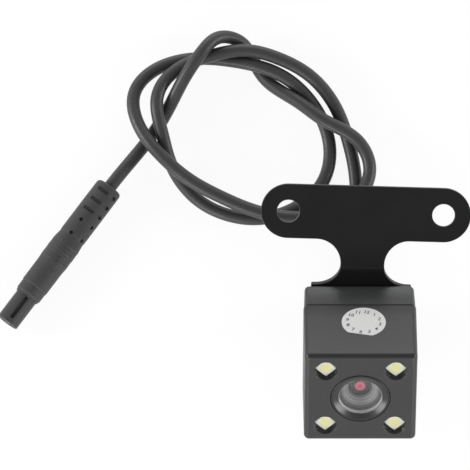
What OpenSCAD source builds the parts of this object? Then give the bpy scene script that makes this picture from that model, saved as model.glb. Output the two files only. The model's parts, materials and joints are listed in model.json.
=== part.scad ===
// Backup camera for a truck or trailer: a small square camera with its swivel bracket,
// lying on a table with its pigtail coiled behind it.
//
// Every piece of the camera is drawn in the camera's own frame: X across, Y up the
// front face, Z along the lens axis, with Z = 0 at the centre of the back face.
// in_camera() then tips that frame back into the pose in which the camera rests.

/* [Housing] */
// Width and height of the square front shell
body_w = 26; // [22:0.5:40]
// Depth from the back face to the front face
body_d = 25.7; // [20:0.1:40]
// Depth of the rear cover, up to the gasket
cover_d = 7.4; // [5:0.1:9]
// How far the rear cover stands inside the shell on each side
cover_inset = 0.25; // [0:0.05:1]
// Gap between shell and cover that the gasket fills
gasket_t = 0.4; // [0.2:0.1:1]
// Radius on the outer edges
edge_r = 1.2; // [0.4:0.1:2]
// Side wall of the shell
wall = 1.6; // [1.2:0.1:2.4]
// Front wall of the shell
front_wall = 2; // [1.5:0.1:3]
// Floor of the rear cover
cover_floor = 1.8; // [1.2:0.1:3]

/* [Lens] */
// Radius of the bezel ring in the front face
bezel_r = 6.8; // [5:0.1:8]
// Radius of the glass that shows in the bezel
glass_r = 5; // [3:0.1:6]
// Outer radius of the lens barrel
barrel_r = 5.8; // [4:0.1:7]
// Radius of the small lens at the foot of the funnel
pupil_r = 2.4; // [1:0.1:3]
// How deep the small lens sits below the front face
pupil_depth = 4.4; // [3:0.1:6]

/* [Lights] */
// Distance of each light from the lens axis, across
led_x = 8; // [6:0.1:12]
// Distance of each light from the lens axis, up and down
led_y = 8.2; // [6:0.1:12]
// Radius of the hole that each light looks through
led_hole_r = 2.55; // [1.5:0.05:4]
// Side of a light's square package
led_w = 3.5; // [2:0.1:5]
// Thickness of a light's package
led_t = 1.85; // [0.6:0.05:3]
// Radius of the yellow phosphor spot
phosphor_r = 1.5; // [0.8:0.1:2]

/* [Bracket] */
// Overall length of the bracket's wing
wing_l = 48.5; // [40:0.1:80]
// Width of the wing
wing_w = 12.65; // [8:0.1:20]
// How far the wing is set off to one side of the neck
wing_shift = 0.4; // [-2:0.1:2]
// Radius of the mounting holes
mount_hole_r = 2.6; // [1.5:0.1:4]
// Thickness of the bracket's sheet
sheet_t = 1; // [0.6:0.1:2]
// Radius of the round notches beside the neck
notch_r = 5.5; // [3:0.1:8]
// Width of the neck at its narrowest
neck_w = 10.1; // [6:0.1:16]
// Distance from the wing's edge to the bend line
bend_at = 6.5; // [6:0.01:12]
// Angle of the bend
bend_angle = 30; // [10:1:90]
// Inner radius of the bend
bend_r = 1; // [0.5:0.1:3]
// Width of the flange behind the camera
flange_w = 23.2; // [14:0.1:30]
// Height of the flange's shoulders above the camera's centre
shoulder_y = 12.7; // [8:0.1:16]
// How far the flange reaches below the camera's centre
flange_low = 7; // [5:0.1:12]

/* [Swivel] */
// Radius of the hollow stem that the bracket turns on
stem_r = 4; // [3:0.1:6]
// How far the stem stands out behind the back face
stem_out = 5; // [4:0.1:8]
// Across flats of the stem's nut
nut_flats = 11; // [9:0.5:16]
// Thickness of the stem's nut
nut_t = 2.4; // [1.5:0.1:3]
// Thickness of the washer under the nut
washer_t = 0.8; // [0.4:0.1:2]
// How far the bracket is turned clockwise at rest, seen from the front
swivel = 2.1; // [-10:0.1:10]

/* [Cable and plug] */
// Outer diameter of the cable
cable_d = 3.1; // [2.5:0.1:4]
// Length of the strain relief behind the stem
relief_l = 4.4; // [3:0.1:12]
// Overall length of the plug
plug_l = 40.2; // [30:0.1:60]
// Radius of the plug's keyed insert
insert_r = 2.7; // [2:0.05:4]
// How far the insert stands out of the grip
insert_out = 7.6; // [5:0.1:12]
// Radius of the plug's grip
grip_r = 3.3; // [3:0.05:5]
// Height of the raised band on the grip
band_h = 0.2; // [0:0.05:0.6]

/* [Pose] */
// How far the lens axis is tipped from upright
tilt = 49.2; // [0:0.1:90]

/* [Clearances] */
// Radial clearance of the bracket's bore on the stem
swivel_gap = 0.05; // [0.02:0.01:0.1]
// Clearance on each side of the turning flange
face_gap = 0.1; // [0.05:0.05:0.3]
// Clearance of a piece dropped into a hole or pocket
drop_gap = 0.1; // [0.05:0.05:0.3]
// Clearance of a thread in its hole
thread_gap = 0.02; // [0.01:0.01:0.05]

/* [Hidden] */
$fn = 64;
e = 0.01; // overshoot of a cut

// Planes along the lens axis, from the back face forwards
cover_w = body_w - 2 * cover_inset;
shell_back = cover_d + gasket_t;
inner_w = body_w - 2 * wall;
inner_r = 0.8;
front_inside = body_d - front_wall;
spigot_l = 1.5;
spigot_wall = 1.2;
spigot_w = inner_w - 2 * drop_gap;
stem_head_r = 6;
stem_head_t = 1.2;
cable_r = cable_d / 2;
cable_bore_r = cable_r + 0.05;

// Cover screws at the four corners
screw_at = inner_w / 2 - 1.4;
screw_r = 0.9;
screw_head_r = 1.5;
screw_head_t = 1.4;
screw_floor = 2.2;
screw_l = 10.8;
boss_r = 2;
boss_gap = 1.5;
boss_back = cover_d + spigot_l + 0.2;

// Light board: it seats on short rings round the light holes
ring_t = 1;
led_board_t = 1;
led_board_front = front_inside - ring_t;
led_board_back = led_board_front - led_board_t;
boss_front = led_board_back - boss_gap;
led_board_w = inner_w - 0.8;
led_face = led_board_front + led_t;
led_spots = [for (x = [-led_x, led_x], y = [-led_y, led_y]) [x, y]];
window_t = 0.9;

// Lens stack
bezel_flange_r = bezel_r + 1;
seal_t = 0.4;
bezel_flange_t = 0.8;
bezel_back = front_inside - seal_t - bezel_flange_t;
barrel_front = front_inside + 0.6;
glass_t = 0.8;
glass_seat_r = glass_r + 0.2;
glass_front = barrel_front + glass_t;
pupil_front = body_d - pupil_depth;
pupil_lens_r = pupil_r + 0.6;
pupil_t = 1.6;
filter_t = 0.5;
filter_clear = 2.3;
funnel_steps = 5;
barrel_bore_r = pupil_lens_r + 0.05;

// Main board: it seats on two posts that stand out of the shell's side walls
board_t = 1.2;
board_back = cover_d + spigot_l + 1.2;
board_front = board_back + board_t;
board_w = inner_w - 1;
board_cut = 5;
post_r = 1.6;
post_x = inner_w / 2 + 0.1 - post_r;
post_l = 6;
board_screw_r = 0.6;
board_screw_head_r = 1.15;
board_screw_head_t = 0.8;
board_screw_l = 4.6;
board_screw_hole = 5;
// Each chip's centre, width, height and thickness
chips = [[3.6, 4.2, 6, 6, 0.9], [-4.6, 3.4, 4.2, 3.2, 0.8], [-4.8, -1.6, 3, 3, 1.2],
    [-1.6, 7.6, 1.6, 0.8, 0.6], [-4.4, 7.2, 1.6, 0.8, 0.6], [4.2, -1.4, 2, 1.2, 0.7]];
holder_w = 14;
holder_base_t = 1.6;
holder_l = 6;
barrel_back = board_front + holder_base_t + 0.2;
sensor_w = 7;
sensor_t = 1;
spacer_l = pupil_front - pupil_t - e - filter_t - board_front - sensor_t - filter_clear;
header_w = 6.5;
header_t = 3.4;
header_y = -5.5;
pins_y = 1.6 - board_w / 2;
pin_pitch = 2.54;
pin_r = 0.32;
wire_r = 0.3;

// Month label on the top face
label_r = 5.08;
label_t = 0.15;
label_x = 0.7;
label_ahead = 6;
label_flat = 4.2;
label_turn = -12;

// Bracket: distances along the sheet are measured from the wing's lower edge
hole_pitch = wing_l - wing_w;
notch_x = neck_w / 2 + notch_r;
shoulder_at = 2 * notch_r;
bend_half = bend_angle * PI / 180 * (bend_r + sheet_t / 2) / 2;
bend_y = shoulder_y + shoulder_at - bend_at - bend_half;
wing_from_bend = bend_at - bend_half;
flange_z = -face_gap - sheet_t;
flange_corner_r = 3;
washer_z = flange_z - face_gap - washer_t;
nut_z = washer_z - nut_t;
washer_r = 6;

// Resting pose: the lowest edge of the rear cover stands on the table, and the
// camera with its bracket is centred over the origin
seat_z = (cover_w / 2 - edge_r) * sin(tilt) - edge_r * cos(tilt) + edge_r;
wing_far = wing_from_bend + wing_w;
far_y = bend_y + bend_r * sin(bend_angle) + wing_far * cos(bend_angle);
far_z = flange_z - bend_r + bend_r * cos(bend_angle) - wing_far * sin(bend_angle);
far_turned = far_y * cos(swivel) + hole_pitch / 2 * sin(abs(swivel)) - wing_shift * sin(swivel);
far_edge = far_turned * cos(tilt) - far_z * sin(tilt);
near_edge = -(body_w / 2 - edge_r) * cos(tilt) - (body_d - edge_r) * sin(tilt) - edge_r;
seat_y = -(far_edge + near_edge) / 2;
wing_mid = bend_y + (bend_r + sheet_t / 2) * sin(bend_angle)
    + (wing_from_bend + wing_w / 2) * cos(bend_angle);
body_x = -wing_mid * sin(swivel) - wing_shift * cos(swivel);

// Plug: it lies flat, resting on its raised band
plug_x = -59.6;
plug_y = 32.6;
plug_heading = 233.4;
plug_z = grip_r + band_h;
grip_l = plug_l - insert_out;
insert_in = 2.4;
contact_r = 0.42;
contact_ring_r = 1.35;

function camera_point(p) = [
    body_x + p.x,
    seat_y + p.y * cos(tilt) - p.z * sin(tilt),
    seat_z + p.y * sin(tilt) + p.z * cos(tilt)
];
function plug_point(s) = [
    plug_x + s * cos(plug_heading),
    plug_y + s * sin(plug_heading),
    plug_z
];

// Cable route: it leaves the stem, drops to the table, makes two and a half laps
// and a small turn, and ends in the plug. Heights rise where one lap crosses another.
stem_top = cover_floor + stem_head_t;
relief_end = stem_out + relief_l;
route = [
    camera_point([0, 0, stem_top]), camera_point([0, 0, -stem_out / 2]),
    camera_point([0, 0, -relief_end + 2]), camera_point([0, 0, -relief_end - 2]),
    [-1.6, 12.8, 1.6], [-1.6, 19.3, 1.6],
    // first lap, up the right side and down the left
    [-1.6, 27.3, 1.6], [-1.6, 36.3, 1.6], [-3.6, 44.8, 1.8], [-6.3, 52.6, 2.5],
    [-12, 59.6, 3.7], [-19.3, 63.1, 5.3], [-27.6, 65.5, 6.6], [-36.1, 63.8, 5.6],
    [-44.5, 61.2, 4.2], [-49.9, 54, 5.6], [-47.1, 44.8, 5.2], [-45.7, 37.7, 2.9],
    [-40.1, 29.8, 1.8], [-32.1, 25.8, 1.6], [-23.6, 24.8, 1.6],
    // second lap, inside the first on the right and outside it on the left
    [-15.1, 27.8, 1.6], [-8.6, 33.8, 1.6], [-7.1, 42.8, 1.6], [-10.3, 51.5, 1.6],
    [-16.4, 58.2, 3.3], [-23.5, 61.2, 5.5], [-32.1, 63.3, 3], [-40.1, 64.3, 1.3],
    [-49.2, 62, 1.8], [-55.4, 55.3, 3.2], [-53.1, 46.3, 5.2], [-48.1, 39.8, 6.7],
    [-41.4, 33.7, 6.4], [-33.9, 30, 5.4], [-26.3, 26.6, 4.9],
    // last half lap, over both on the right and back through the middle
    [-18.1, 24.8, 4.7], [-9.1, 25.3, 4.6], [-1.6, 28.3, 4.8], [2.9, 36.3, 4.8],
    [-1.1, 44.8, 5], [-9.6, 47.8, 5.4], [-14.9, 53, 4.5], [-23.3, 57.8, 1.8],
    // small turn at the top, then down to the plug
    [-26.1, 64.3, 1.2], [-28.6, 68.1, 3.6], [-34.6, 68.7, 6.9], [-38.1, 63.8, 9.2],
    [-42.6, 57.8, 6.7], [-46.6, 49.8, 1.8], [-51.6, 42.8, 1.4],
    plug_point(-4), plug_point(1), plug_point(5)
];
route_last = len(route) - 1;
cable_sides = 8;
ring_step = 2 / 3;

function route_at(i) =
    i < 0 ? 2 * route[0] - route[1] :
    i > route_last ? 2 * route[route_last] - route[route_last - 1] :
    route[i];
// Uniform cubic B-spline through the route, and its direction
function cable_point(u) =
    let (i = min(floor(u), route_last - 1), t = u - i, s = 1 - t)
    (s * s * s * route_at(i - 1) + (3 * t * t * t - 6 * t * t + 4) * route_at(i)
    + (3 * s * s * s - 6 * s * s + 4) * route_at(i + 1) + t * t * t * route_at(i + 2)) / 6;
function unit(v) = v / norm(v);
function cable_heading(u) =
    unit(cable_point(min(u + 0.02, route_last)) - cable_point(max(u - 0.02, 0)));
function cable_ring(u) =
    let (c = cable_point(u), h = cable_heading(u),
        side = unit(cross(h, [0, 0, 1])), up = cross(side, h))
    [for (k = [0:cable_sides - 1])
        let (a = (k + 0.5) * 360 / cable_sides)
        c + cable_r * (cos(a) * side + sin(a) * up)];

// Placing

// Tips the camera's own frame into its resting pose
module in_camera() {
    translate([body_x, seat_y, seat_z])
        rotate([tilt, 0, 0])
            children();
}

// The bracket's frame: the camera's, turned about the lens axis
module in_bracket() {
    in_camera()
        rotate([0, 0, -swivel])
            children();
}

// The plug's frame: Z runs from the cable end to the tip, -X is up
module in_plug() {
    translate(plug_point(0))
        rotate([0, 90, plug_heading])
            children();
}

module at_corners(d) {
    for (x = [-d, d], y = [-d, d])
        translate([x, y, 0])
            children();
}

// Shared shapes

module rounded_square(w, r) {
    square([w, w - 2 * r], center = true);
    square([w - 2 * r, w], center = true);
    for (x = [-1, 1], y = [-1, 1])
        translate([x * (w / 2 - r), y * (w / 2 - r)])
            circle(r);
}

// Block with round long edges and round edges on its far end
module soft_block(w, depth, r) {
    linear_extrude(depth - r)
        rounded_square(w, r);
    linear_extrude(depth)
        square(w - 2 * r, center = true);
    for (side = [0:3])
        rotate([0, 0, 90 * side])
            translate([w / 2 - r, w / 2 - r, depth - r]) {
                sphere(r);
                rotate([90, 0, 0])
                    cylinder(h = w - 2 * r, r = r);
            }
}

module tube(outer, inner, l) {
    difference() {
        cylinder(h = l, r = outer);
        translate([0, 0, -e])
            cylinder(h = l + 2 * e, r = inner);
    }
}

// Screw along +Z from the underside of its head, with a cross recess
module small_screw(head_r, head_t, r, l) {
    cylinder(h = l, r = r);
    difference() {
        translate([0, 0, -head_t])
            cylinder(h = head_t, r = head_r);
        for (a = [0, 90])
            rotate([0, 0, a])
                translate([-head_r * 0.7, -head_r * 0.13, -head_t - e])
                    cube([head_r * 1.4, head_r * 0.26, head_t * 0.5]);
    }
}

// Housing

// Square front shell with the lens hole, four light holes, screw bosses and board posts
module front_shell() {
    color("#4e4f52")
    in_camera()
    difference() {
        union() {
            difference() {
                translate([0, 0, shell_back])
                    soft_block(body_w, body_d - shell_back, edge_r);
                translate([0, 0, shell_back - e])
                    linear_extrude(front_inside - shell_back + e)
                        rounded_square(inner_w, inner_r);
            }
            at_corners(screw_at)
                translate([0, 0, boss_back])
                    cylinder(h = boss_front - boss_back, r = boss_r);
            for (side = [-1, 1])
                translate([side * post_x, 0, board_front])
                    cylinder(h = post_l, r = post_r);
            for (p = led_spots)
                translate([p.x, p.y, led_board_front])
                    cylinder(h = ring_t + 0.5, r = led_hole_r + 0.7);
        }
        translate([0, 0, front_inside - 1])
            cylinder(h = front_wall + 2, r = bezel_r + drop_gap);
        for (p = led_spots)
            translate([p.x, p.y, led_board_front - e])
                cylinder(h = ring_t + front_wall + 1, r = led_hole_r);
        at_corners(screw_at)
            translate([0, 0, boss_back - e])
                cylinder(h = screw_floor + screw_l - boss_back + 0.5, r = screw_r + thread_gap);
        for (side = [-1, 1])
            translate([side * post_x, 0, board_front - e])
                cylinder(h = board_screw_hole, r = board_screw_r + thread_gap);
    }
}

// Rear cover: a shallow tray whose spigot enters the shell, with the stem's hole
module rear_cover() {
    column_l = cover_d + spigot_l - cover_floor;
    color("#57585b")
    in_camera()
    difference() {
        union() {
            difference() {
                union() {
                    translate([0, 0, cover_d])
                        mirror([0, 0, 1])
                            soft_block(cover_w, cover_d, edge_r);
                    translate([0, 0, cover_floor])
                        linear_extrude(column_l)
                            rounded_square(spigot_w, inner_r);
                }
                translate([0, 0, cover_floor])
                    linear_extrude(column_l + 1)
                        rounded_square(spigot_w - 2 * spigot_wall, inner_r);
            }
            intersection() {
                at_corners(screw_at)
                    translate([0, 0, cover_floor - 0.5])
                        cylinder(h = column_l + 0.5, r = boss_r + 0.2);
                translate([0, 0, 1])
                    linear_extrude(cover_d + spigot_l)
                        rounded_square(spigot_w, inner_r);
            }
        }
        translate([0, 0, -e])
            cylinder(h = cover_floor + 1, r = stem_r + drop_gap / 2);
        at_corners(screw_at) {
            translate([0, 0, -e])
                cylinder(h = screw_floor + e, r = screw_head_r + drop_gap);
            cylinder(h = cover_d + spigot_l + 1, r = screw_r + drop_gap);
        }
    }
}

// Rubber gasket squeezed between shell and cover
module cover_gasket() {
    color("#1c1c1e")
    in_camera()
    translate([0, 0, cover_d])
        linear_extrude(gasket_t)
            difference() {
                rounded_square(cover_w - 0.2, edge_r);
                rounded_square(spigot_w + 2 * drop_gap, inner_r);
            }
}

module cover_screws() {
    color("#b9bbbe")
    in_camera()
    at_corners(screw_at)
        translate([0, 0, screw_floor])
            small_screw(screw_head_r, screw_head_t, screw_r, screw_l);
}

// White month dial stuck on the top face, with one edge cut straight
module month_label() {
    color("#e9e9e6")
    in_camera()
    translate([label_x, body_w / 2, shell_back + label_ahead])
        rotate([-90, 0, 0])
            rotate([0, 0, label_turn])
                difference() {
                    cylinder(h = label_t, r = label_r);
                    translate([-label_r, -label_r * 2 - label_flat, -e])
                        cube([label_r * 2, label_r * 2, label_t + 2 * e]);
                }
}

// Lens

// Bezel ring: flush in the front face, with a cone running in to the glass
module lens_bezel() {
    lip_r = bezel_r - 0.5;
    color("#3a3b3e")
    in_camera()
    rotate_extrude()
        polygon([
            [barrel_r + drop_gap, bezel_back],
            [bezel_flange_r, bezel_back],
            [bezel_flange_r, bezel_back + bezel_flange_t],
            [bezel_r, bezel_back + bezel_flange_t],
            [bezel_r, body_d],
            [lip_r, body_d],
            [glass_r, glass_front + drop_gap],
            [glass_r, glass_front],
            [glass_seat_r + 0.05, glass_front],
            [glass_seat_r + 0.05, barrel_front],
            [barrel_r + drop_gap, barrel_front]
        ]);
}

module lens_seal() {
    color("#202022")
    in_camera()
    translate([0, 0, front_inside - seal_t])
        tube(bezel_flange_r, bezel_r + drop_gap / 2, seal_t);
}

// Outline of a shallow dome from its rim to the axis, starting at height z
function dome_outline(rim_r, dome_h, z) =
    let (ball_r = (rim_r * rim_r + dome_h * dome_h) / (2 * dome_h),
        span = asin(rim_r / ball_r))
    [for (k = [0:8]) let (a = span * (1 - k / 8))
        [ball_r * sin(a), z + dome_h - ball_r * (1 - cos(a))]];

// Front glass: a thin disc with a shallow dome
module front_lens() {
    color("#8fa3ad")
    in_camera()
    translate([0, 0, barrel_front])
        rotate_extrude()
            polygon(concat(
                [[0, 0], [glass_seat_r, 0], [glass_seat_r, glass_t]],
                dome_outline(glass_r - 0.1, 0.5, glass_t)));
}

// Barrel with a stepped funnel in front and the lens bore behind
module lens_barrel() {
    top_r = glass_r - 0.4;
    step_r = (top_r - pupil_r) / funnel_steps;
    step_z = (barrel_front - pupil_front - 0.2) / funnel_steps;
    color("#9b9c9e")
    in_camera()
    difference() {
        translate([0, 0, barrel_back])
            cylinder(h = barrel_front - barrel_back, r = barrel_r);
        translate([0, 0, barrel_back - e])
            cylinder(h = pupil_front - barrel_back, r = barrel_bore_r);
        for (k = [0:funnel_steps - 1])
            translate([0, 0, pupil_front + 0.2 + k * step_z])
                cylinder(h = barrel_front, r = pupil_r + (k + 1) * step_r);
        cylinder(h = body_d, r = pupil_r);
    }
}

// Small lens with a domed front, seated behind the funnel's lip
module inner_lens() {
    color("#8c3a4a")
    in_camera()
    translate([0, 0, pupil_front - pupil_t - e])
        rotate_extrude()
            polygon(concat(
                [[0, 0], [pupil_lens_r, 0], [pupil_lens_r, pupil_t]],
                dome_outline(pupil_r - 0.05, 0.6, pupil_t)));
}

module lens_spacer() {
    color("#1f1f21")
    in_camera()
    translate([0, 0, pupil_front - pupil_t - e - spacer_l])
        tube(pupil_lens_r, pupil_r, spacer_l);
}

module ir_filter() {
    color("#7fb6b0")
    in_camera()
    translate([0, 0, pupil_front - pupil_t - e - spacer_l - filter_t])
        cylinder(h = filter_t, r = pupil_lens_r);
}

// Holder that carries the barrel over the sensor
module lens_holder() {
    pocket = sensor_w + 1;
    color("#232325")
    in_camera()
    translate([0, 0, board_front])
    difference() {
        union() {
            translate([-holder_w / 2, -holder_w / 2, 0])
                cube([holder_w, holder_w, holder_base_t]);
            cylinder(h = holder_l, r = holder_w / 2);
        }
        translate([0, 0, holder_base_t])
            cylinder(h = holder_l, r = barrel_r + thread_gap);
        translate([-pocket / 2, -pocket / 2, -e])
            cube([pocket, pocket, sensor_t + 0.3]);
        cylinder(h = holder_l, r = pupil_lens_r);
    }
}

// Electronics

module image_sensor() {
    color("#2d3a36")
    in_camera()
    translate([-sensor_w / 2, -sensor_w / 2, board_front])
        cube([sensor_w, sensor_w, sensor_t]);
}

module main_board() {
    h = board_w / 2;
    c = h - board_cut;
    color("#1e5a38")
    in_camera()
    translate([0, 0, board_back])
        linear_extrude(board_t)
            difference() {
                polygon([[h, c], [c, h], [-c, h], [-h, c], [-h, -c], [-c, -h], [c, -h], [h, -c]]);
                for (side = [-1, 1])
                    translate([side * post_x, 0])
                        circle(board_screw_r + drop_gap);
                for (k = [-1:1])
                    translate([k * pin_pitch, pins_y])
                        circle(pin_r + 0.08);
            }
}

// Processor, memory, coil and small parts on the back of the main board
module board_chips() {
    color("#26272a")
    in_camera()
    for (p = chips)
        translate([p[0] - p[2] / 2, p[1] - p[3] / 2, board_back - p[4]])
            cube([p[2], p[3], p[4]]);
}

module board_screws() {
    color("#c4c6c9")
    in_camera()
    for (side = [-1, 1])
        translate([side * post_x, 0, board_back])
            small_screw(board_screw_head_r, board_screw_head_t, board_screw_r, board_screw_l);
}

module wire_header() {
    color("#e4e0d2")
    in_camera()
    translate([-header_w / 2, header_y - header_t / 2, board_back - header_t])
        cube([header_w, header_t, header_t]);
}

// Four leads from the end of the cable to the header
module lead_wires() {
    colours = ["#b3262b", "#e8e8e4", "#e0b62c", "#1d1d1f"];
    for (k = [0:3]) {
        from_x = (k - 1.5) * 0.7;
        to_x = (k - 1.5) * 1.5;
        points = [[from_x, 0, stem_top], [from_x, 0, stem_top + 0.9],
            [to_x, header_y, stem_top + 1.4], [to_x, header_y, board_back - header_t]];
        color(colours[k])
        in_camera()
        for (i = [0:2]) {
            run = points[i + 1] - points[i];
            translate(points[i]) {
                rotate([0, acos(run.z / norm(run)), atan2(run.y, run.x)])
                    cylinder(h = norm(run), r = wire_r);
                if (i > 0)
                    sphere(wire_r * 1.08);
            }
        }
    }
}

// Light board round the bezel
module led_board() {
    color("#1b1e1d")
    in_camera()
    translate([0, 0, led_board_back])
        linear_extrude(led_board_t)
            difference() {
                square(led_board_w, center = true);
                circle(bezel_flange_r + drop_gap);
                for (k = [-1:1])
                    translate([k * pin_pitch, pins_y])
                        circle(pin_r + 0.08);
            }
}

// White packages, turned a quarter of the way so that a corner points up
module led_packages() {
    color("#e8e8de")
    in_camera()
    for (p = led_spots)
        translate([p.x, p.y, led_board_front])
            difference() {
                rotate([0, 0, 45])
                    translate([-led_w / 2, -led_w / 2, 0])
                        cube([led_w, led_w, led_t]);
                translate([0, 0, led_t - 0.35])
                    cylinder(h = 1, r = phosphor_r + thread_gap);
            }
}

module led_phosphors() {
    color("#e2e0a0")
    in_camera()
    for (p = led_spots)
        translate([p.x, p.y, led_face - 0.35])
            cylinder(h = 0.35, r = phosphor_r);
}

// Clear windows that close the light holes
module led_windows() {
    color("#dfe6ea")
    in_camera()
    for (p = led_spots)
        translate([p.x, p.y, led_face])
            cylinder(h = window_t, r = led_hole_r - thread_gap);
}

// Pins that join the two boards
module link_pins() {
    color("#cfae5a")
    in_camera()
    for (k = [-1:1])
        translate([k * pin_pitch, pins_y, board_back - 0.8])
            cylinder(h = led_board_front - board_back + 1.3, r = pin_r, $fn = 24);
}

// Swivel

// Hollow stem: its head sits inside the cover and the cable runs through it
module gland_stem() {
    color("#8b8d91")
    in_camera()
    difference() {
        union() {
            translate([0, 0, cover_floor])
                cylinder(h = stem_head_t, r = stem_head_r);
            translate([0, 0, -stem_out])
                cylinder(h = stem_out + cover_floor + e, r = stem_r);
        }
        translate([0, 0, -stem_out - e])
            cylinder(h = stem_out + stem_top + 1, r = cable_bore_r);
    }
}

module gland_washer() {
    color("#c2c4c8")
    in_camera()
    translate([0, 0, washer_z])
        tube(washer_r, stem_r + swivel_gap, washer_t);
}

module gland_nut() {
    color("#a9abb0")
    in_camera()
    translate([0, 0, nut_z])
        difference() {
            cylinder(h = nut_t, r = nut_flats / 2 / cos(30), $fn = 6);
            translate([0, 0, -e])
                cylinder(h = nut_t + 2 * e, r = stem_r + thread_gap);
        }
}

// Black sheet bracket: a flange on the stem, a bent neck between two round notches,
// and a wing with a mounting hole at the centre of each round end
module mount_bracket() {
    color("#222224")
    in_bracket()
    difference() {
        union() {
            translate([0, 0, flange_z])
                linear_extrude(sheet_t)
                    flange_outline();
            translate([0, bend_y, flange_z - bend_r]) {
                rotate([0, -90, 0])
                    rotate_extrude(angle = bend_angle)
                        translate([bend_r, -neck_w / 2])
                            square([sheet_t, neck_w]);
                rotate([-bend_angle, 0, 0])
                    translate([0, 0, bend_r])
                        linear_extrude(sheet_t)
                            wing_outline();
            }
        }
        translate([0, 0, flange_z - 1])
            cylinder(h = sheet_t + 2, r = stem_r + swivel_gap);
    }
}

// The neck runs on past both sides of the bend; the notches shape its edges
module neck_piece(y0, y1, notch_y) {
    difference() {
        translate([-notch_x, y0])
            square([2 * notch_x, y1 - y0]);
        for (side = [-1, 1])
            translate([side * notch_x, notch_y])
                circle(notch_r);
    }
}

module flange_outline() {
    r = flange_corner_r;
    translate([-flange_w / 2, r - flange_low])
        square([flange_w, shoulder_y + flange_low - r]);
    translate([r - flange_w / 2, -flange_low])
        square([flange_w - 2 * r, r + 1]);
    for (side = [-1, 1])
        translate([side * (flange_w / 2 - r), r - flange_low])
            circle(r);
    neck_piece(shoulder_y - e, bend_y + e, shoulder_y + notch_r);
}

module wing_outline() {
    difference() {
        union() {
            neck_piece(-e, wing_from_bend + e, wing_from_bend - notch_r);
            translate([wing_shift - hole_pitch / 2, wing_from_bend])
                square([hole_pitch, wing_w]);
            for (side = [-1, 1])
                translate([wing_shift + side * hole_pitch / 2, wing_from_bend + wing_w / 2])
                    circle(wing_w / 2);
        }
        for (side = [-1, 1])
            translate([wing_shift + side * hole_pitch / 2, wing_from_bend + wing_w / 2])
                circle(mount_hole_r);
    }
}

// Cable and plug

// Tapered rubber sleeve where the cable leaves the stem
module strain_relief() {
    color("#1d1d1f")
    in_camera()
    translate([0, 0, -relief_end])
        difference() {
            cylinder(h = relief_l, r1 = cable_r + 0.8, r2 = stem_r - 0.6);
            translate([0, 0, -e])
                cylinder(h = relief_l + 2 * e, r = cable_bore_r);
        }
}

module cable() {
    n = cable_sides;
    us = [for (u = [0:ring_step:route_last - ring_step / 2]) u, route_last];
    m = len(us);
    points = [for (u = us) each cable_ring(u)];
    sides = [for (i = [0:m - 2], k = [0:n - 1])
        [i * n + k, (i + 1) * n + k, (i + 1) * n + (k + 1) % n, i * n + (k + 1) % n]];
    start_cap = [[for (k = [0:n - 1]) k]];
    end_cap = [[for (k = [n - 1:-1:0]) (m - 1) * n + k]];
    color("#46474a")
        polyhedron(points, concat(sides, start_cap, end_cap), convexity = 12);
}

// Grip: round-ended boot, a shallow waist, a raised band and a collar for the insert,
// with five rows of flex slots near the cable
module plug_grip() {
    r = grip_r;
    band_r = grip_r + band_h;
    tip = grip_l;
    color("#4a4b4e")
    in_plug()
    difference() {
        rotate_extrude()
            polygon([
                [cable_bore_r, 0], [r - 0.9, 0], [r - 0.4, 0.25], [r - 0.1, 0.8], [r, 1.6],
                [r, 14.4], [r - 0.12, 15], [r - 0.12, 15.6], [band_r - 0.05, 16.8],
                [band_r, 17.4], [band_r, tip - 9.8], [r + 0.06, tip - 9.2],
                [r + 0.06, tip - 3.2], [r - 0.08, tip - 2.9], [r - 0.08, tip - 0.6],
                [insert_r + 0.2, tip], [insert_r + thread_gap, tip],
                [insert_r + thread_gap, tip - insert_in], [cable_bore_r, tip - insert_in],
                [cable_bore_r, tip - insert_in - 1], [0, tip - insert_in - 1.6],
                [0, 6], [cable_bore_r, 5.2]
            ]);
        for (column = [0:4])
            rotate([0, 0, 72 * column + 46]) {
                for (s = [1.75, 4.5, 7.25])
                    translate([r - 0.45, -1.5, s - 0.36])
                        cube([1, 3, 0.72]);
                for (s = [10.1, 14])
                    translate([r - 0.35, 0, s])
                        rotate([0, 90, 0])
                            cylinder(h = 1, r = 0.35, $fn = 24);
            }
    }
}

// Keyed insert with four contact holes in its end face
module plug_insert() {
    l = insert_out + insert_in;
    color("#2b2c2e")
    in_plug()
    translate([0, 0, grip_l - insert_in])
        difference() {
            cylinder(h = l, r = insert_r);
            for (k = [0:3])
                rotate([0, 0, 45 + 90 * k])
                    translate([contact_ring_r, 0, 3])
                        cylinder(h = l, r = contact_r + 0.06, $fn = 32);
            rotate([0, 0, -10])
                translate([-insert_r - 1, -0.45, insert_in + 0.3])
                    cube([1.7, 0.9, insert_out - 1.4]);
        }
}

module plug_contacts() {
    color("#d0b060")
    in_plug()
    for (k = [0:3])
        rotate([0, 0, 45 + 90 * k])
            translate([contact_ring_r, 0, grip_l - insert_in + 3])
                cylinder(h = insert_out + insert_in - 4.2, r = contact_r, $fn = 32);
}

front_shell();
rear_cover();
cover_gasket();
cover_screws();
month_label();
lens_bezel();
lens_seal();
front_lens();
lens_barrel();
inner_lens();
lens_spacer();
ir_filter();
lens_holder();
image_sensor();
main_board();
board_chips();
board_screws();
wire_header();
lead_wires();
led_board();
led_packages();
led_phosphors();
led_windows();
link_pins();
gland_stem();
gland_washer();
gland_nut();
mount_bracket();
strain_relief();
cable();
plug_grip();
plug_insert();
plug_contacts();
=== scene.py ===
import json
import math
import bmesh
import bpy
from mathutils import Matrix, Vector


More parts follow.
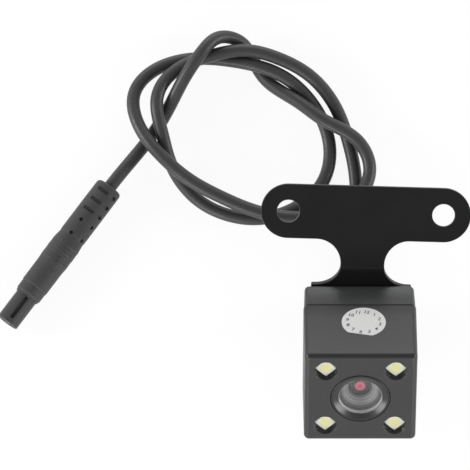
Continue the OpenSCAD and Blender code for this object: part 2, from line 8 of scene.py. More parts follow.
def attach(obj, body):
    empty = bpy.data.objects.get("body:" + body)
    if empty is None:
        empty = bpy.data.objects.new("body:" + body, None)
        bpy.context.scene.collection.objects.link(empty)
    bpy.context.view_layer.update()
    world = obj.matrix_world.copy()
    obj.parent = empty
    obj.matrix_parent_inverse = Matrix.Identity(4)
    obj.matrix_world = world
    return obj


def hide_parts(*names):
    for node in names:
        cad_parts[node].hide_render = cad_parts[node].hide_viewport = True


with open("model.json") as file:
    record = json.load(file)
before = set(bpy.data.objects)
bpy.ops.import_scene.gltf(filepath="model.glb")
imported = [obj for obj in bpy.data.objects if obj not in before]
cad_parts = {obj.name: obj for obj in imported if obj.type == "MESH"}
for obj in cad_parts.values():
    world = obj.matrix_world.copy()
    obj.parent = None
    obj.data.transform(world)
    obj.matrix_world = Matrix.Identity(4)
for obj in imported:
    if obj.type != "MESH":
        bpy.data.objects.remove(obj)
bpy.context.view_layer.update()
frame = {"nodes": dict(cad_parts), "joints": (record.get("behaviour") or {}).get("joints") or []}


# ---------------------------------------------------------------- viewing camera
# The viewer stands almost straight over the table and leans ten degrees towards the
# front of the housing, far enough back that its square sides stay nearly parallel.
view_data = bpy.data.cameras.new("view_camera")
view_data.sensor_width = 36
view_data.lens = 406.6
view_data.clip_start, view_data.clip_end = 0.05, 5
view_camera = bpy.data.objects.new("view_camera", view_data)
view_camera.location = (-0.0302, -0.1953, 1.231)
view_camera.rotation_euler = (math.radians(10), 0, 0)
bpy.context.scene.collection.objects.link(view_camera)
bpy.context.scene.camera = view_camera


# ---------------------------------------------------------------- cable
# A four-core lead in an extruded jacket of matt PVC, 3.1 mm thick. It leaves the hollow
# stem behind the housing, lies on the table in two and a half loose laps with a small
# turn at the top, and ends in the moulded plug.
swivel_joint = frame["joints"][0]
lens_axis = Vector(swivel_joint["axis"])
across = Vector((1, 0, 0))
camera_place = (Matrix.Translation(swivel_joint["pos_m"])
    @ Matrix((across, lens_axis.cross(across), lens_axis)).transposed().to_4x4()
    @ Matrix.Scale(0.001, 4))
plug_heading = math.radians(233.4)
plug_along = Vector((math.cos(plug_heading), math.sin(plug_heading), 0))
plug_place = (Matrix.Translation((-0.0596, 0.0326, 0.0035))
    @ Matrix(((0, 0, -1), Vector((0, 0, 1)).cross(plug_along), plug_along)).transposed().to_4x4()
    @ Matrix.Scale(0.001, 4))
relief_end = 9.4
cable_d = 3.1
cable_spans = 9
cable_sides = 24
cable_route = [Vector(p) * 0.001 for p in (
    (-1.6, 12.8, 1.6), (-1.6, 19.3, 1.6), (-1.6, 27.3, 1.6), (-1.6, 36.3, 1.6),
    (-3.6, 44.8, 1.8), (-6.3, 52.6, 2.5), (-12, 59.6, 3.7), (-19.3, 63.1, 5.3),
    (-27.6, 65.5, 6.6), (-36.1, 63.8, 5.6), (-44.5, 61.2, 4.2), (-49.9, 54, 5.6),
    (-47.1, 44.8, 5.2), (-45.7, 37.7, 2.9), (-40.1, 29.8, 1.8), (-32.1, 25.8, 1.6),
    (-23.6, 24.8, 1.6), (-15.1, 27.8, 1.6), (-8.6, 33.8, 1.6), (-7.1, 42.8, 1.6),
    (-10.3, 51.5, 1.6), (-16.4, 58.2, 3.3), (-23.5, 61.2, 5.5), (-32.1, 63.3, 3),
    (-40.1, 64.3, 1.3), (-49.2, 62, 1.8), (-55.4, 55.3, 3.2), (-53.1, 46.3, 5.2),
    (-48.1, 39.8, 6.7), (-41.4, 33.7, 6.4), (-33.9, 30, 5.4), (-26.3, 26.6, 4.9),
    (-18.1, 24.8, 4.7), (-9.1, 25.3, 4.6), (-1.6, 28.3, 4.8), (2.9, 36.3, 4.8),
    (-1.1, 44.8, 5), (-9.6, 47.8, 5.4), (-14.9, 53, 4.5), (-23.3, 57.8, 1.8),
    (-26.1, 64.3, 1.2), (-28.6, 68.1, 3.6), (-34.6, 68.7, 6.9), (-38.1, 63.8, 9.2),
    (-42.6, 57.8, 6.7), (-46.6, 49.8, 1.8), (-51.6, 42.8, 1.4))]
cable_route = ([camera_place @ Vector((0, 0, z)) for z in (3, -2.5, 2 - relief_end, -2 - relief_end)]
    + cable_route + [plug_place @ Vector((0, 0, s)) for s in (-4, 1, 5)])


def smooth_run(points, spans):
    """Points along a smooth curve that the given points pull on, from first to last."""
    held = [2 * points[0] - points[1], *points, 2 * points[-1] - points[-2]]
    run = []
    for k in range(len(points) - 1):
        a, b, c, d = held[k:k + 4]
        for step in range(spans):
            t = step / spans
            s = 1 - t
            run.append((s ** 3 * a + (3 * t ** 3 - 6 * t * t + 4) * b
                + (3 * s ** 3 - 6 * s * s + 4) * c + t ** 3 * d) / 6)
    return run + [points[-1].copy()]


def linked(name, data):
    """A new object that holds this data, in the scene."""
    piece = bpy.data.objects.new(name, data)
    bpy.context.scene.collection.objects.link(piece)
    return piece


def piece_of(name, shape):
    """A finished bmesh as a piece; the bmesh is freed."""
    mesh = bpy.data.meshes.new(name)
    shape.to_mesh(mesh)
    shape.free()
    return linked(name, mesh)


def jacket_tube(name, run, radius, sides):
    """A round tube with closed ends that follows a run of points without twisting.
    Its UV map is in metres: round the jacket in U, along it in V."""
    shape = bmesh.new()
    unwrap = shape.loops.layers.uv.new("jacket")
    rings, travelled = [], [0.0]
    side = None
    for k, centre in enumerate(run):
        heading = (run[min(k + 1, len(run) - 1)] - run[max(k - 1, 0)]).normalized()
        side = heading.orthogonal() if side is None else side - heading * side.dot(heading)
        side.normalize()
        up = heading.cross(side)
        rings.append([shape.verts.new(centre + radius * (math.cos(a) * side + math.sin(a) * up))
            for a in (2 * math.pi * j / sides for j in range(sides))])
        if k:
            travelled.append(travelled[-1] + (centre - run[k - 1]).length)
    girth = 2 * math.pi * radius / sides
    for k in range(len(run) - 1):
        for j in range(sides):
            nxt = (j + 1) % sides
            face = shape.faces.new((rings[k][j], rings[k][nxt], rings[k + 1][nxt], rings[k + 1][j]))
            face.smooth = True
            for loop, u, v in zip(face.loops, (j, j + 1, j + 1, j), (k, k, k + 1, k + 1)):
                loop[unwrap].uv = (u * girth, travelled[v])
    shape.faces.new(rings[0][::-1])
    shape.faces.new(rings[-1])
    bmesh.ops.recalc_face_normals(shape, faces=shape.faces)
    return piece_of(name, shape)


def linear(code):
    """An sRGB hex colour as the linear RGBA that a shader takes."""
    parts = [int(code[k:k + 2], 16) / 255 for k in (1, 3, 5)]
    return [p / 12.92 if p <= 0.04045 else ((p + 0.055) / 1.055) ** 2.4 for p in parts] + [1.0]


def add(tree, kind, feeds=None, **settings):
    """Adds a node with its settings; a kind without its full name is a shader node. Its
    sockets take outputs, nodes (their first output), hex colours or plain values."""
    node = tree.nodes.new(kind if "Node" in kind else "ShaderNode" + kind)
    for name, value in settings.items():
        setattr(node, name, value)
    for socket, value in (feeds or {}).items():
        if isinstance(value, bpy.types.Node):
            value = value.outputs[0]
        if isinstance(value, bpy.types.NodeSocket):
            tree.links.new(value, node.inputs[socket])
        else:
            node.inputs[socket].default_value = linear(value) if isinstance(value, str) else value
    return node


def new_finish(name):
    """A material with an empty tree, and that tree."""
    finish = bpy.data.materials.new(name)
    finish.use_nodes = True
    finish.node_tree.nodes.clear()
    return finish, finish.node_tree


def new_pattern(name):
    """A new material, its tree, and the place on the piece in metres for its pattern."""
    finish, tree = new_finish(name)
    return finish, tree, add(tree, "TexCoord").outputs["Object"]


def patterned(name, pattern, dark, light, rough, body, strength=0, skin=0):
    """A material with a pattern from a function of its tree and the place on the piece. It
    runs from a dark tint to a light one, moves the roughness where that is a range, and
    raises the skin by so many metres at that strength."""
    finish, tree, object_at = new_pattern(name)
    share = pattern(tree, object_at)
    tint = add(tree, "Mix", {0: share, 6: dark, 7: light}, data_type="RGBA")
    if isinstance(rough, tuple):
        rough = add(tree, "MapRange", {"Value": share, "To Min": rough[0], "To Max": rough[1]})
    surface = add(tree, "BsdfPrincipled", {"Base Color": tint.outputs[2], "Roughness": rough, **body})
    if skin:
        bump = add(tree, "Bump", {"Strength": strength, "Distance": skin, "Height": share})
        tree.links.new(bump.outputs[0], surface.inputs["Normal"])
    add(tree, "OutputMaterial", {"Surface": surface})
    return finish


def clouded(name, blot, detail, *looks):
    """A patterned material with blotches so many millimetres across."""
    return patterned(name, lambda tree, object_at: add(tree, "TexNoise",
        {"Vector": object_at, "Scale": 1000 / blot, "Detail": detail}).outputs[0], *looks)


# Plasticised PVC, extruded: a soft satin black-grey whose skin carries faint die lines
# along its length and a bloom of dust and handling that breaks up the shine.
pvc_jacket, tree, object_at = new_pattern("pvc_extruded_jacket")
jacket_uv = add(tree, "UVMap", uv_map="jacket")
bloom = add(tree, "TexNoise", {"Vector": object_at, "Scale": 1000 / 7, "Detail": 3.0})
dust = add(tree, "TexNoise", {"Vector": object_at, "Scale": 1000 / 0.5, "Detail": 2.0})
die_stretch = add(tree, "Mapping", {"Vector": jacket_uv.outputs["UV"],
    "Scale": (1000 / 0.35, 1000 / 22, 1)})
die_lines = add(tree, "TexNoise", {"Vector": die_stretch, "Scale": 1.0, "Detail": 2.0})
jacket_tint = add(tree, "Mix", {0: bloom, 6: "#3a3a3b", 7: "#444445"}, data_type="RGBA")
jacket_shine = add(tree, "MapRange", {"Value": dust, "To Min": 0.36, "To Max": 0.50})
skin_relief = add(tree, "Math", {0: die_lines, 1: dust}, operation="ADD")
skin_bump = add(tree, "Bump", {"Strength": 0.35, "Distance": 0.00006, "Height": skin_relief})
surface = add(tree, "BsdfPrincipled", {"Base Color": jacket_tint.outputs[2], "Roughness": jacket_shine,
    "Normal": skin_bump, "IOR": 1.53, "Specular IOR Level": 0.42})
add(tree, "OutputMaterial", {"Surface": surface})

cable_line = smooth_run(cable_route, cable_spans)
cable_jacket = jacket_tube("cable_jacket", cable_line, cable_d / 2000, cable_sides)
cable_jacket.data.materials.append(pvc_jacket)
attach(cable_jacket, "camera")
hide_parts("cable")


# ---------------------------------------------------------------- plug grip
# The plug's grip is moulded round the cable end in soft PVC: a boot with two columns of
# long flex slots and two of short ones, a shallow waist, a rippled band for the fingers,
# and a narrow collar round the insert.
def soften(corners, closed=False, steps=4):
    """An outline of (x, y, radius) corners with each corner rounded by its radius."""
    outline = []
    for k, (x, y, radius) in enumerate(corners):
        if not radius or (not closed and k in (0, len(corners) - 1)):
            outline.append((x, y))
            continue
        here = Vector((x, y))
        back = Vector(corners[k - 1][:2]) - here
        on = Vector(corners[(k + 1) % len(corners)][:2]) - here
        half = back.angle(on) / 2
        reach = min(radius / math.tan(half), back.length * 0.48, on.length * 0.48)
        centre = here + (back.normalized() + on.normalized()).normalized() * (reach / math.cos(half))
        start, end = here + back.normalized() * reach - centre, here + on.normalized() * reach - centre
        turn = math.atan2(start.x * end.y - start.y * end.x, start.dot(end))
        for step in range(steps + 1):
            a = turn * step / steps
            outline.append((centre.x + start.x * math.cos(a) - start.y * math.sin(a),
                centre.y + start.x * math.sin(a) + start.y * math.cos(a)))
    return outline


def drawn_piece(name, points, faces):
    """A piece drawn in millimetres: its doubles are merged, then its faces turned outwards."""
    shape = bmesh.new()
    corners = [shape.verts.new(p) for p in points]
    for face in faces:
        shape.faces.new([corners[k] for k in face])
    bmesh.ops.remove_doubles(shape, verts=shape.verts, dist=1e-4)
    bmesh.ops.dissolve_degenerate(shape, edges=shape.edges, dist=1e-5)
    bmesh.ops.recalc_face_normals(shape, faces=shape.faces)
    return piece_of(name, shape)


def turned(name, outline, steps=96, closed=False):
    """A piece turned about its own axis from an outline of (radius, height) points."""
    rows, points, faces = len(outline), [], []
    for k in range(steps):
        a = 2 * math.pi * k / steps
        points += [(r * math.cos(a), r * math.sin(a), z) for r, z in outline]
        here, there = k * rows, (k + 1) % steps * rows
        for i in range(rows if closed else rows - 1):
            j = (i + 1) % rows
            faces.append((here + i, there + i, there + j, here + j))
    return drawn_piece(name, points, faces)


def between(n, rows):
    """The faces that join each row of n points to the next."""
    return [(r * n + k, r * n + (k + 1) % n, (r + 1) * n + (k + 1) % n, (r + 1) * n + k)
        for r in range(rows) for k in range(n)]


def pressed(name, outline, low, high, place=None):
    """A flat-ended piece with this (x, y) outline, from height low to height high."""
    n = len(outline)
    points = [Vector((x, y, z)) for z in (low, high) for x, y in outline]
    faces = [tuple(range(n))[::-1], tuple(range(n, 2 * n))] + between(n, 1)
    return drawn_piece(name, [place @ p for p in points] if place else points, faces)


def worked_out(piece):
    """The plain mesh of a piece's curves or modifiers."""
    graph = bpy.context.evaluated_depsgraph_get()
    return bpy.data.meshes.new_from_object(piece.evaluated_get(graph), depsgraph=graph)


def plain_result(piece):
    """Turns a piece and its modifiers into a plain mesh."""
    made = worked_out(piece)
    piece.modifiers.clear()
    piece.data = made


def work(piece, tool, how):
    """Cuts a tool out of a piece, adds it or keeps what they share; the tool is used up."""
    step = piece.modifiers.new("work", "BOOLEAN")
    step.operation, step.object, step.solver = how, tool, "EXACT"
    plain_result(piece)
    bpy.data.objects.remove(tool)


def joined(name, parts):
    """Several pieces that don't touch, as one."""
    shape = bmesh.new()
    for part in parts:
        shape.from_mesh(part.data)
        bpy.data.objects.remove(part)
    return piece_of(name, shape)


def settle(piece, finish, crease=32, place=camera_place):
    """Shades a piece smooth up to its creases, then carries its mesh into the object."""
    piece.data.materials.clear()
    piece.data.materials.append(finish)
    piece.data.polygons.foreach_set("use_smooth", [True] * len(piece.data.polygons))
    piece.data.set_sharp_from_angle(angle=math.radians(crease))
    even = piece.modifiers.new("even_shading", "WEIGHTED_NORMAL")
    even.keep_sharp = True
    plain_result(piece)
    piece.data.transform(place)


def copying_tree(name, inputs, lay_out):
    """A tree that sets copies of a piece on the points that lay_out makes from its inputs."""
    tree = bpy.data.node_groups.new(name, "GeometryNodeTree")
    for socket, kind in {"Geometry": "Geometry", **inputs, "Finish": "Material"}.items():
        tree.interface.new_socket(name=socket, in_out="INPUT", socket_type="NodeSocket" + kind)
    tree.interface.new_socket(name="Geometry", in_out="OUTPUT", socket_type="NodeSocketGeometry")
    given = add(tree, "NodeGroupInput").outputs
    copies = add(tree, "GeometryNodeInstanceOnPoints",
        {"Instance": given["Geometry"], **lay_out(tree, given)})
    real = add(tree, "GeometryNodeRealizeInstances", {"Geometry": copies})
    dressed = add(tree, "GeometryNodeSetMaterial", {"Geometry": real, "Material": given["Finish"]})
    add(tree, "NodeGroupOutput", {"Geometry": dressed})
    return tree


def round_axis(tree, given):
    """Points on the axis, each turned on from the last by an equal share of the circle."""
    spots = add(tree, "GeometryNodePoints", {"Count": given["Copies"]})
    number = add(tree, "GeometryNodeInputIndex")
    share = add(tree, "Math", {0: 2 * math.pi, 1: given["Copies"]}, operation="DIVIDE")
    angle = add(tree, "Math", {0: number, 1: share, 2: given["First Angle"]}, operation="MULTIPLY_ADD")
    return {"Points": spots, "Rotation": add(tree, "CombineXYZ", {"Z": angle})}


def set_copies(piece, tree, **inputs):
    """Runs a copying tree on a piece, with its inputs given by name."""
    step = piece.modifiers.new("copies", "NODES")
    step.node_group = tree
    for item in tree.interface.items_tree:
        if item.in_out == "INPUT" and item.name.replace(" ", "_").lower() in inputs:
            step[item.identifier] = inputs[item.name.replace(" ", "_").lower()]
    plain_result(piece)


def in_own_mm(place):
    """What a Mapping node takes to carry metres on the table into a placed piece's own
    millimetres."""
    turn = place.to_3x3().normalized().inverted()
    return {"Location": -1000 * (turn @ place.translation), "Rotation": turn.to_euler(),
        "Scale": (1000, 1000, 1000)}


set_round_axis = copying_tree("set_round_axis", {"Copies": "Int", "First Angle": "Float"}, round_axis)

# Soft PVC, injection moulded: the same black-grey as the cable but drier, with fine
# spark-eroded grain, and shallow flow ripples in the band where the tool has no polish.
plug_mm = in_own_mm(plug_place)
pvc_grip, tree, object_at = new_pattern("pvc_moulded_grip")
plug_at = add(tree, "Mapping", {"Vector": object_at, **plug_mm})
plug_xyz = add(tree, "SeparateXYZ", {0: plug_at})
grain = add(tree, "TexNoise", {"Vector": plug_at, "Scale": 1 / 0.22, "Detail": 2.0})
mottle = add(tree, "TexNoise", {"Vector": plug_at, "Scale": 1 / 3.2, "Detail": 3.0})
band_in = add(tree, "MapRange", {"Value": plug_xyz.outputs["Z"], "From Min": 15.8, "From Max": 17.6})
band_out = add(tree, "MapRange", {"Value": plug_xyz.outputs["Z"], "From Min": 22.0, "From Max": 23.4,
    "To Min": 1.0, "To Max": 0.0})
band_share = add(tree, "Math", {0: band_in, 1: band_out}, operation="MULTIPLY")
ripples = add(tree, "TexWave", {"Vector": plug_at, "Scale": 0.32, "Distortion": 5.0, "Detail": 1.5,
    "Detail Scale": 0.5}, bands_direction="Z")
band_relief = add(tree, "Math", {0: ripples.outputs["Fac"], 1: band_share}, operation="MULTIPLY")
grip_relief = add(tree, "Math", {0: band_relief, 1: 1.4, 2: grain}, operation="MULTIPLY_ADD")
grip_bump = add(tree, "Bump", {"Strength": 0.4, "Distance": 0.00007, "Height": grip_relief})
grip_tint = add(tree, "Mix", {0: mottle, 6: "#404041", 7: "#484849"}, data_type="RGBA")
grip_shine = add(tree, "MapRange", {"Value": mottle, "To Min": 0.46, "To Max": 0.60})
surface = add(tree, "BsdfPrincipled", {"Base Color": grip_tint.outputs[2], "Roughness": grip_shine,
    "Normal": grip_bump, "IOR": 1.53, "Specular IOR Level": 0.3})
add(tree, "OutputMaterial", {"Surface": surface})

grip_r, grip_l = 3.3, 32.6
cable_bore_r, cable_bore_l = 1.56, 5
collar_r, collar_from = 3.35, 29.5
nose_seat_r, nose_seat = 2.74, 30.2
slot_w, slot_sunk, dot_l = 0.9, 0.5, 0.91
slots_at, dots_at = (2.0, 4.8, 7.6), (10.6, 14.5)
grip_turning = soften([(0, cable_bore_l, 0), (cable_bore_r, cable_bore_l, 0), (cable_bore_r, 0, 0.15),
    (grip_r - 0.04, 0, 0.95), (grip_r, 6, 2), (grip_r, 14.4, 0.6), (grip_r - 0.09, 15.1, 0.5),
    (grip_r + 0.1, 16.6, 0.6), (3.5, 17.3, 0.3), (3.45, 18.2, 0.3), (3.5, 19.3, 0.3), (3.44, 20.6, 0.3),
    (3.49, 21.7, 0.3), (3.43, 22.5, 0.3), (3.36, 23.4, 0.4), (collar_r, collar_from, 0.12),
    (3.22, 29.7, 0.1), (3.2, 31.9, 0.25), (3.0, 32.15, 0.1), (2.98, grip_l, 0.15),
    (nose_seat_r, grip_l, 0), (nose_seat_r, nose_seat, 0), (0, nose_seat, 0)])
plug_boot = turned("plug_boot", grip_turning, 120)


def stadium(length, width, sides=8):
    """The outline of a slot with round ends."""
    reach = (length - width) / 2
    return [(end * reach + width / 2 * math.cos(a), width / 2 * math.sin(a))
        for end, start in ((1, -math.pi / 2), (-1, math.pi / 2))
        for a in (start + math.pi * k / sides for k in range(sides + 1))]


def facing_out(s):
    """Turns a flat outline so that it faces out of the grip at distance s along it."""
    return Matrix.Translation((0, 0, s)) @ Matrix(((0, 0, 1), (1, 0, 0), (0, 1, 0))).to_4x4()


for column, slot_l, first in (("long_slots", 3.0, 7), ("short_slots", 1.4, 125)):
    slot_column = joined(column, [
        pressed(column, stadium(length, slot_w), grip_r - slot_sunk, grip_r + 1, facing_out(s))
        for length, places in ((slot_l, slots_at), (dot_l, dots_at)) for s in places])
    set_copies(slot_column, set_round_axis, copies=2, first_angle=math.radians(first), finish=pvc_grip)
    work(plug_boot, slot_column, "DIFFERENCE")

arrow_head = [(0, 1.1), (-0.62, 0), (-0.22, 0), (-0.22, -1.7), (0.22, -1.7), (0.22, 0), (0.62, 0)]
for name, s, turn, size, out in (("band_arrow", 21.3, 163, 0.8, 3.56),
        ("collar_arrow", 30.4, 170, 0.55, 3.27)):
    arrow_mark = pressed(name, [(x * size, -y * size) for x, y in arrow_head], 3.0, out, facing_out(s))
    arrow_mark.data.transform(Matrix.Rotation(math.radians(turn), 4, "Z"))
    work(plug_boot, arrow_mark, "UNION")
settle(plug_boot, pvc_grip, 40, plug_place)
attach(plug_boot, "camera")
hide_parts("plug_grip")


# ---------------------------------------------------------------- plug insert and contacts
# The nose of the plug is a harder moulding, pushed into the collar: four sockets in its
# end face take the pins of the other half, and a key groove along the top lines it up.
nose_r, nose_l = 2.7, 40.2
nose_rim_r, face_sunk = 2.15, 0.12
contact_r, contact_floor, contact_from_axis = 0.48, 33, 1.35
key_w, key_l, key_floor, key_turn = 0.9, 6.2, 2.0, 170

# Glass-filled nylon, injection moulded: dark, harder and a little shinier than the grip,
# with the fibres showing as a faint lengthwise streak.
def lengthwise_streaks(tree, object_at):
    """Noise drawn out ten times along the plug."""
    nose_at = add(tree, "Mapping", {"Vector": object_at, **plug_mm})
    streak_at = add(tree, "Mapping", {"Vector": nose_at, "Scale": (1 / 0.3, 1 / 0.3, 1 / 3)})
    return add(tree, "TexNoise", {"Vector": streak_at, "Scale": 1.0, "Detail": 2.0}).outputs[0]


nylon_nose = patterned("nylon_moulded_nose", lengthwise_streaks, "#3c3c3d", "#49494a", (0.34, 0.5),
    {"IOR": 1.53, "Specular IOR Level": 0.28}, 0.25, 0.00005)

plug_nose = turned("plug_nose", soften([(0, nose_seat, 0), (nose_r, nose_seat, 0.1), (nose_r, nose_l, 0.28),
    (nose_rim_r, nose_l, 0.08), (nose_rim_r, nose_l - face_sunk, 0.05), (0, nose_l - face_sunk, 0)]), 96)
contact_hole = turned("contact_hole", soften([(0, contact_floor, 0), (contact_r, contact_floor, 0),
    (contact_r, nose_l - 0.3, 0.05), (0.58, nose_l - 0.1, 0.03), (0.58, nose_l + 1, 0),
    (0, nose_l + 1, 0)]), 24)
contact_hole.data.transform(Matrix.Translation((contact_from_axis, 0, 0)))
set_copies(contact_hole, set_round_axis, copies=4, first_angle=math.radians(45), finish=nylon_nose)
work(plug_nose, contact_hole, "DIFFERENCE")
key_groove = pressed("key_groove", [(x, y + 35.9) for y, x in stadium(key_l, key_w)], key_floor, 4,
    facing_out(0))
key_groove.data.transform(Matrix.Rotation(math.radians(key_turn), 4, "Z"))
work(plug_nose, key_groove, "DIFFERENCE")
settle(plug_nose, nylon_nose, 40, plug_place)
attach(plug_nose, "camera")
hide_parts("plug_insert")

# Gold-flashed brass, stamped and rolled: a warm, slightly dulled shine down the sockets.
brass_flash = clouded("brass_gold_flash", 1.2, 3.0, "#c79a3e", "#e0bd6a", (0.2, 0.38), {"Metallic": 1.0})
frame["nodes"]["plug_contacts"].material_slots[0].material = brass_flash


# ---------------------------------------------------------------- front shell
# The housing's front shell is one ABS moulding, open at the back: a square box with a
# little draft, a large hole for the lens, four holes for the lights, and inside it the
# bosses for the cover screws and the posts for the board.
body_d = 25.7
shell_back = 7.8
shell_half_back, shell_half_front = 13.0, 12.88
edge_r = 1.2
inner_half = 11.4
front_inside = 23.7
led_x, led_y, led_hole_r = 8, 8.2, 2.55
screw_at = 10.0
lens_hole_r = 6.9
past_front = 27
boss_r, boss_low, boss_top = 2, 9.1, 20.2
post_x, post_r, post_low, post_top = 9.9, 1.6, 11.3, 17.3
drill_r, drill_end = 0.92, 13.4
seat_wall, seat_low, seat_top = 0.7, 22.7, 24.2


def side_at(z):
    """Half the shell's width at a height along the lens axis: the draft of the mould."""
    return shell_half_back + (shell_half_front - shell_half_back) * (z - shell_back) / (body_d - shell_back)


def square_ring(half, corner, z, steps=10):
    """A square with round corners, as a ring of points at one height."""
    ring = []
    for quarter, (sx, sy) in enumerate(((1, 1), (-1, 1), (-1, -1), (1, -1))):
        for k in range(steps + 1):
            a = math.pi / 2 * (quarter + k / steps)
            ring.append((sx * (half - corner) + corner * math.cos(a), sy * (half - corner)
                + corner * math.sin(a), z))
    return ring


def stacked(name, rings):
    """A closed piece that passes through a stack of rings."""
    n = len(rings[0])
    points = [p for ring in rings for p in ring]
    faces = [tuple(range(n)), tuple(range(len(points) - n, len(points)))]
    return drawn_piece(name, points, faces + between(n, len(rings) - 1))


def rounding(half, top, r, way=1, steps=8):
    """The rings of a rounded edge that ends at height top; way is -1 for a lower edge."""
    return [square_ring(half - r * (1 - math.cos(a)), max(r * math.cos(a), 1e-5),
        top - way * r * (1 - math.sin(a))) for a in (math.pi / 2 * k / steps
        for k in range(1, steps + 1))]


camera_mm = in_own_mm(camera_place)


def grained_abs(name, dark, light):
    """ABS, injection moulded, matt: a fine spark-eroded grain that scatters the light
    evenly, and soft cloudiness from the resin and from handling. The cover's lighter
    tints are painted light: they stand in for the brighter light on its face."""
    finish, tree, object_at = new_pattern(name)
    erosion = add(tree, "TexNoise", {"Vector": object_at, "Scale": 1000 / 0.16, "Detail": 2.0})
    pits = add(tree, "TexVoronoi", {"Vector": object_at, "Scale": 1000 / 0.24})
    clouds = add(tree, "TexNoise", {"Vector": object_at, "Scale": 1000 / 6, "Detail": 4.0})
    tint = add(tree, "Mix", {0: clouds, 6: dark, 7: light}, data_type="RGBA")
    speck = add(tree, "MapRange", {"Value": pits, "To Min": 0.90, "To Max": 1.12})
    colour = add(tree, "VectorMath", {0: tint.outputs[2], 1: speck}, operation="MULTIPLY")
    shine = add(tree, "MapRange", {"Value": clouds, "To Min": 0.36, "To Max": 0.44})
    relief = add(tree, "Math", {0: erosion, 1: pits}, operation="ADD")
    bump = add(tree, "Bump", {"Strength": 0.22, "Distance": 0.00004, "Height": relief})
    surface = add(tree, "BsdfPrincipled", {"Base Color": colour, "Roughness": shine,
        "Normal": bump, "IOR": 1.53})
    add(tree, "OutputMaterial", {"Surface": surface})
    return finish


abs_shell = grained_abs("abs_spark_grained", "#1f1f20", "#262627")
# The cover's tints are lighter than the shell's as painted light, for the brighter light on its face.
abs_cover_painted_light = grained_abs("abs_spark_grained_cover", "#393a3b", "#434444")

shell_moulding = stacked("shell_moulding", [square_ring(shell_half_back - 0.14, edge_r - 0.14,
    shell_back), square_ring(shell_half_back - 0.04, edge_r - 0.04, shell_back + 0.05),
    square_ring(side_at(shell_back + 0.16), edge_r, shell_back + 0.16),
    square_ring(side_at(body_d - edge_r), edge_r, body_d - edge_r)]
    + rounding(shell_half_front, body_d, edge_r))
work(shell_moulding, stacked("shell_hollow", [square_ring(inner_half, 0.8, z)
    for z in (shell_back - 1, front_inside)]), "DIFFERENCE")
inner_columns = []
for x, y, r, low, top in (*((x * screw_at, y * screw_at, boss_r, boss_low, boss_top) for x in (-1, 1)
        for y in (-1, 1)), *((x, 0, post_r, post_low, post_top) for x in (-post_x, post_x))):
    inner_columns.append(turned("inner_column", [(0, low), (r, low), (r, top), (0, top)], 40))
    inner_columns[-1].data.transform(Matrix.Translation((x, y, 0)))
work(shell_moulding, joined("inner_columns", inner_columns), "UNION")


def at_corners(tree, given):
    """The four corners of a rectangle, so far apart each way."""
    return {"Points": add(tree, "GeometryNodeMeshGrid", {"Size X": given["Apart Across"],
        "Size Y": given["Apart Up"], "Vertices X": 2, "Vertices Y": 2})}


set_at_corners = copying_tree("set_at_corners", {"Apart Across": "Float", "Apart Up": "Float"}, at_corners)
light_spread = {"apart_across": 2 * led_x, "apart_up": 2 * led_y}
screw_spread = {"apart_across": 2 * screw_at, "apart_up": 2 * screw_at}
light_seat = turned("light_seat", [(0, seat_low), (led_hole_r + seat_wall, seat_low),
    (led_hole_r + seat_wall, seat_top), (0, seat_top)], 48)
set_copies(light_seat, set_at_corners, **light_spread, finish=abs_shell)
work(shell_moulding, light_seat, "UNION")
light_cutter = turned("light_cutter", soften([(0, 22, 0), (led_hole_r, 22, 0), (led_hole_r, body_d, 0.22),
    (led_hole_r + 0.6, body_d, 0), (led_hole_r + 0.6, past_front, 0), (0, past_front, 0)], steps=5), 72)
set_copies(light_cutter, set_at_corners, **light_spread, finish=abs_shell)
work(shell_moulding, light_cutter, "DIFFERENCE")
work(shell_moulding, turned("lens_cutter", soften([(0, 22.6, 0), (lens_hole_r, 22.6, 0),
    (lens_hole_r, body_d, 0.2), (7.5, body_d, 0), (7.5, past_front, 0), (0, past_front, 0)], steps=5),
    144), "DIFFERENCE")
screw_drill = turned("screw_drill", [(0, 8), (drill_r, 8), (drill_r, drill_end), (0, drill_end)], 32)
set_copies(screw_drill, set_at_corners, **screw_spread, finish=abs_shell)
work(shell_moulding, screw_drill, "DIFFERENCE")
settle(shell_moulding, abs_shell)
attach(shell_moulding, "camera")
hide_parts("front_shell")


# ---------------------------------------------------------------- rear cover
# The rear cover is a shallow ABS tray whose spigot enters the shell. It is screwed on
# from behind through four columns, and the swivel stem passes through its middle.
cover_d, cover_half, cover_floor = 7.4, 12.88, 1.8
spigot_half, spigot_wall, spigot_end = 11.3, 1.2, 8.9
column_at, column_r = 9.35, 1.9
head_hole_r, head_seat, shank_hole_r = 1.6, 2.2, 1.0
stem_hole_r = 4.05

cover_moulding = stacked("cover_moulding",
    rounding(cover_half - 0.2, 0, 1.1, -1)[::-1] + [square_ring(cover_half - 0.2, 1.1, 1.1),
        square_ring(cover_half - 0.02, 1.1, cover_d - 0.12), square_ring(cover_half - 0.12, 1.0, cover_d)])
work(cover_moulding, stacked("spigot", [square_ring(spigot_half, 0.8, 3),
    square_ring(spigot_half, 0.8, spigot_end - 0.2), square_ring(spigot_half - 0.2, 0.6, spigot_end)]),
    "UNION")
work(cover_moulding, stacked("tray", [square_ring(spigot_half - spigot_wall, 0.8, z)
    for z in (cover_floor, 10)]), "DIFFERENCE")
column = turned("column", [(0, 1.3), (column_r, 1.3), (column_r, 8.8), (0, 8.8)], 40)
set_copies(column, set_at_corners, apart_across=2 * column_at, apart_up=2 * column_at, finish=abs_cover_painted_light)
work(cover_moulding, column, "UNION")
head_bore = turned("head_bore", soften([(0, -1, 0), (1.9, -1, 0), (1.9, 0, 0), (head_hole_r, 0, 0.15),
    (head_hole_r, head_seat, 0), (shank_hole_r, head_seat, 0), (shank_hole_r, 10, 0), (0, 10, 0)]), 48)
set_copies(head_bore, set_at_corners, **screw_spread, finish=abs_cover_painted_light)
work(cover_moulding, head_bore, "DIFFERENCE")
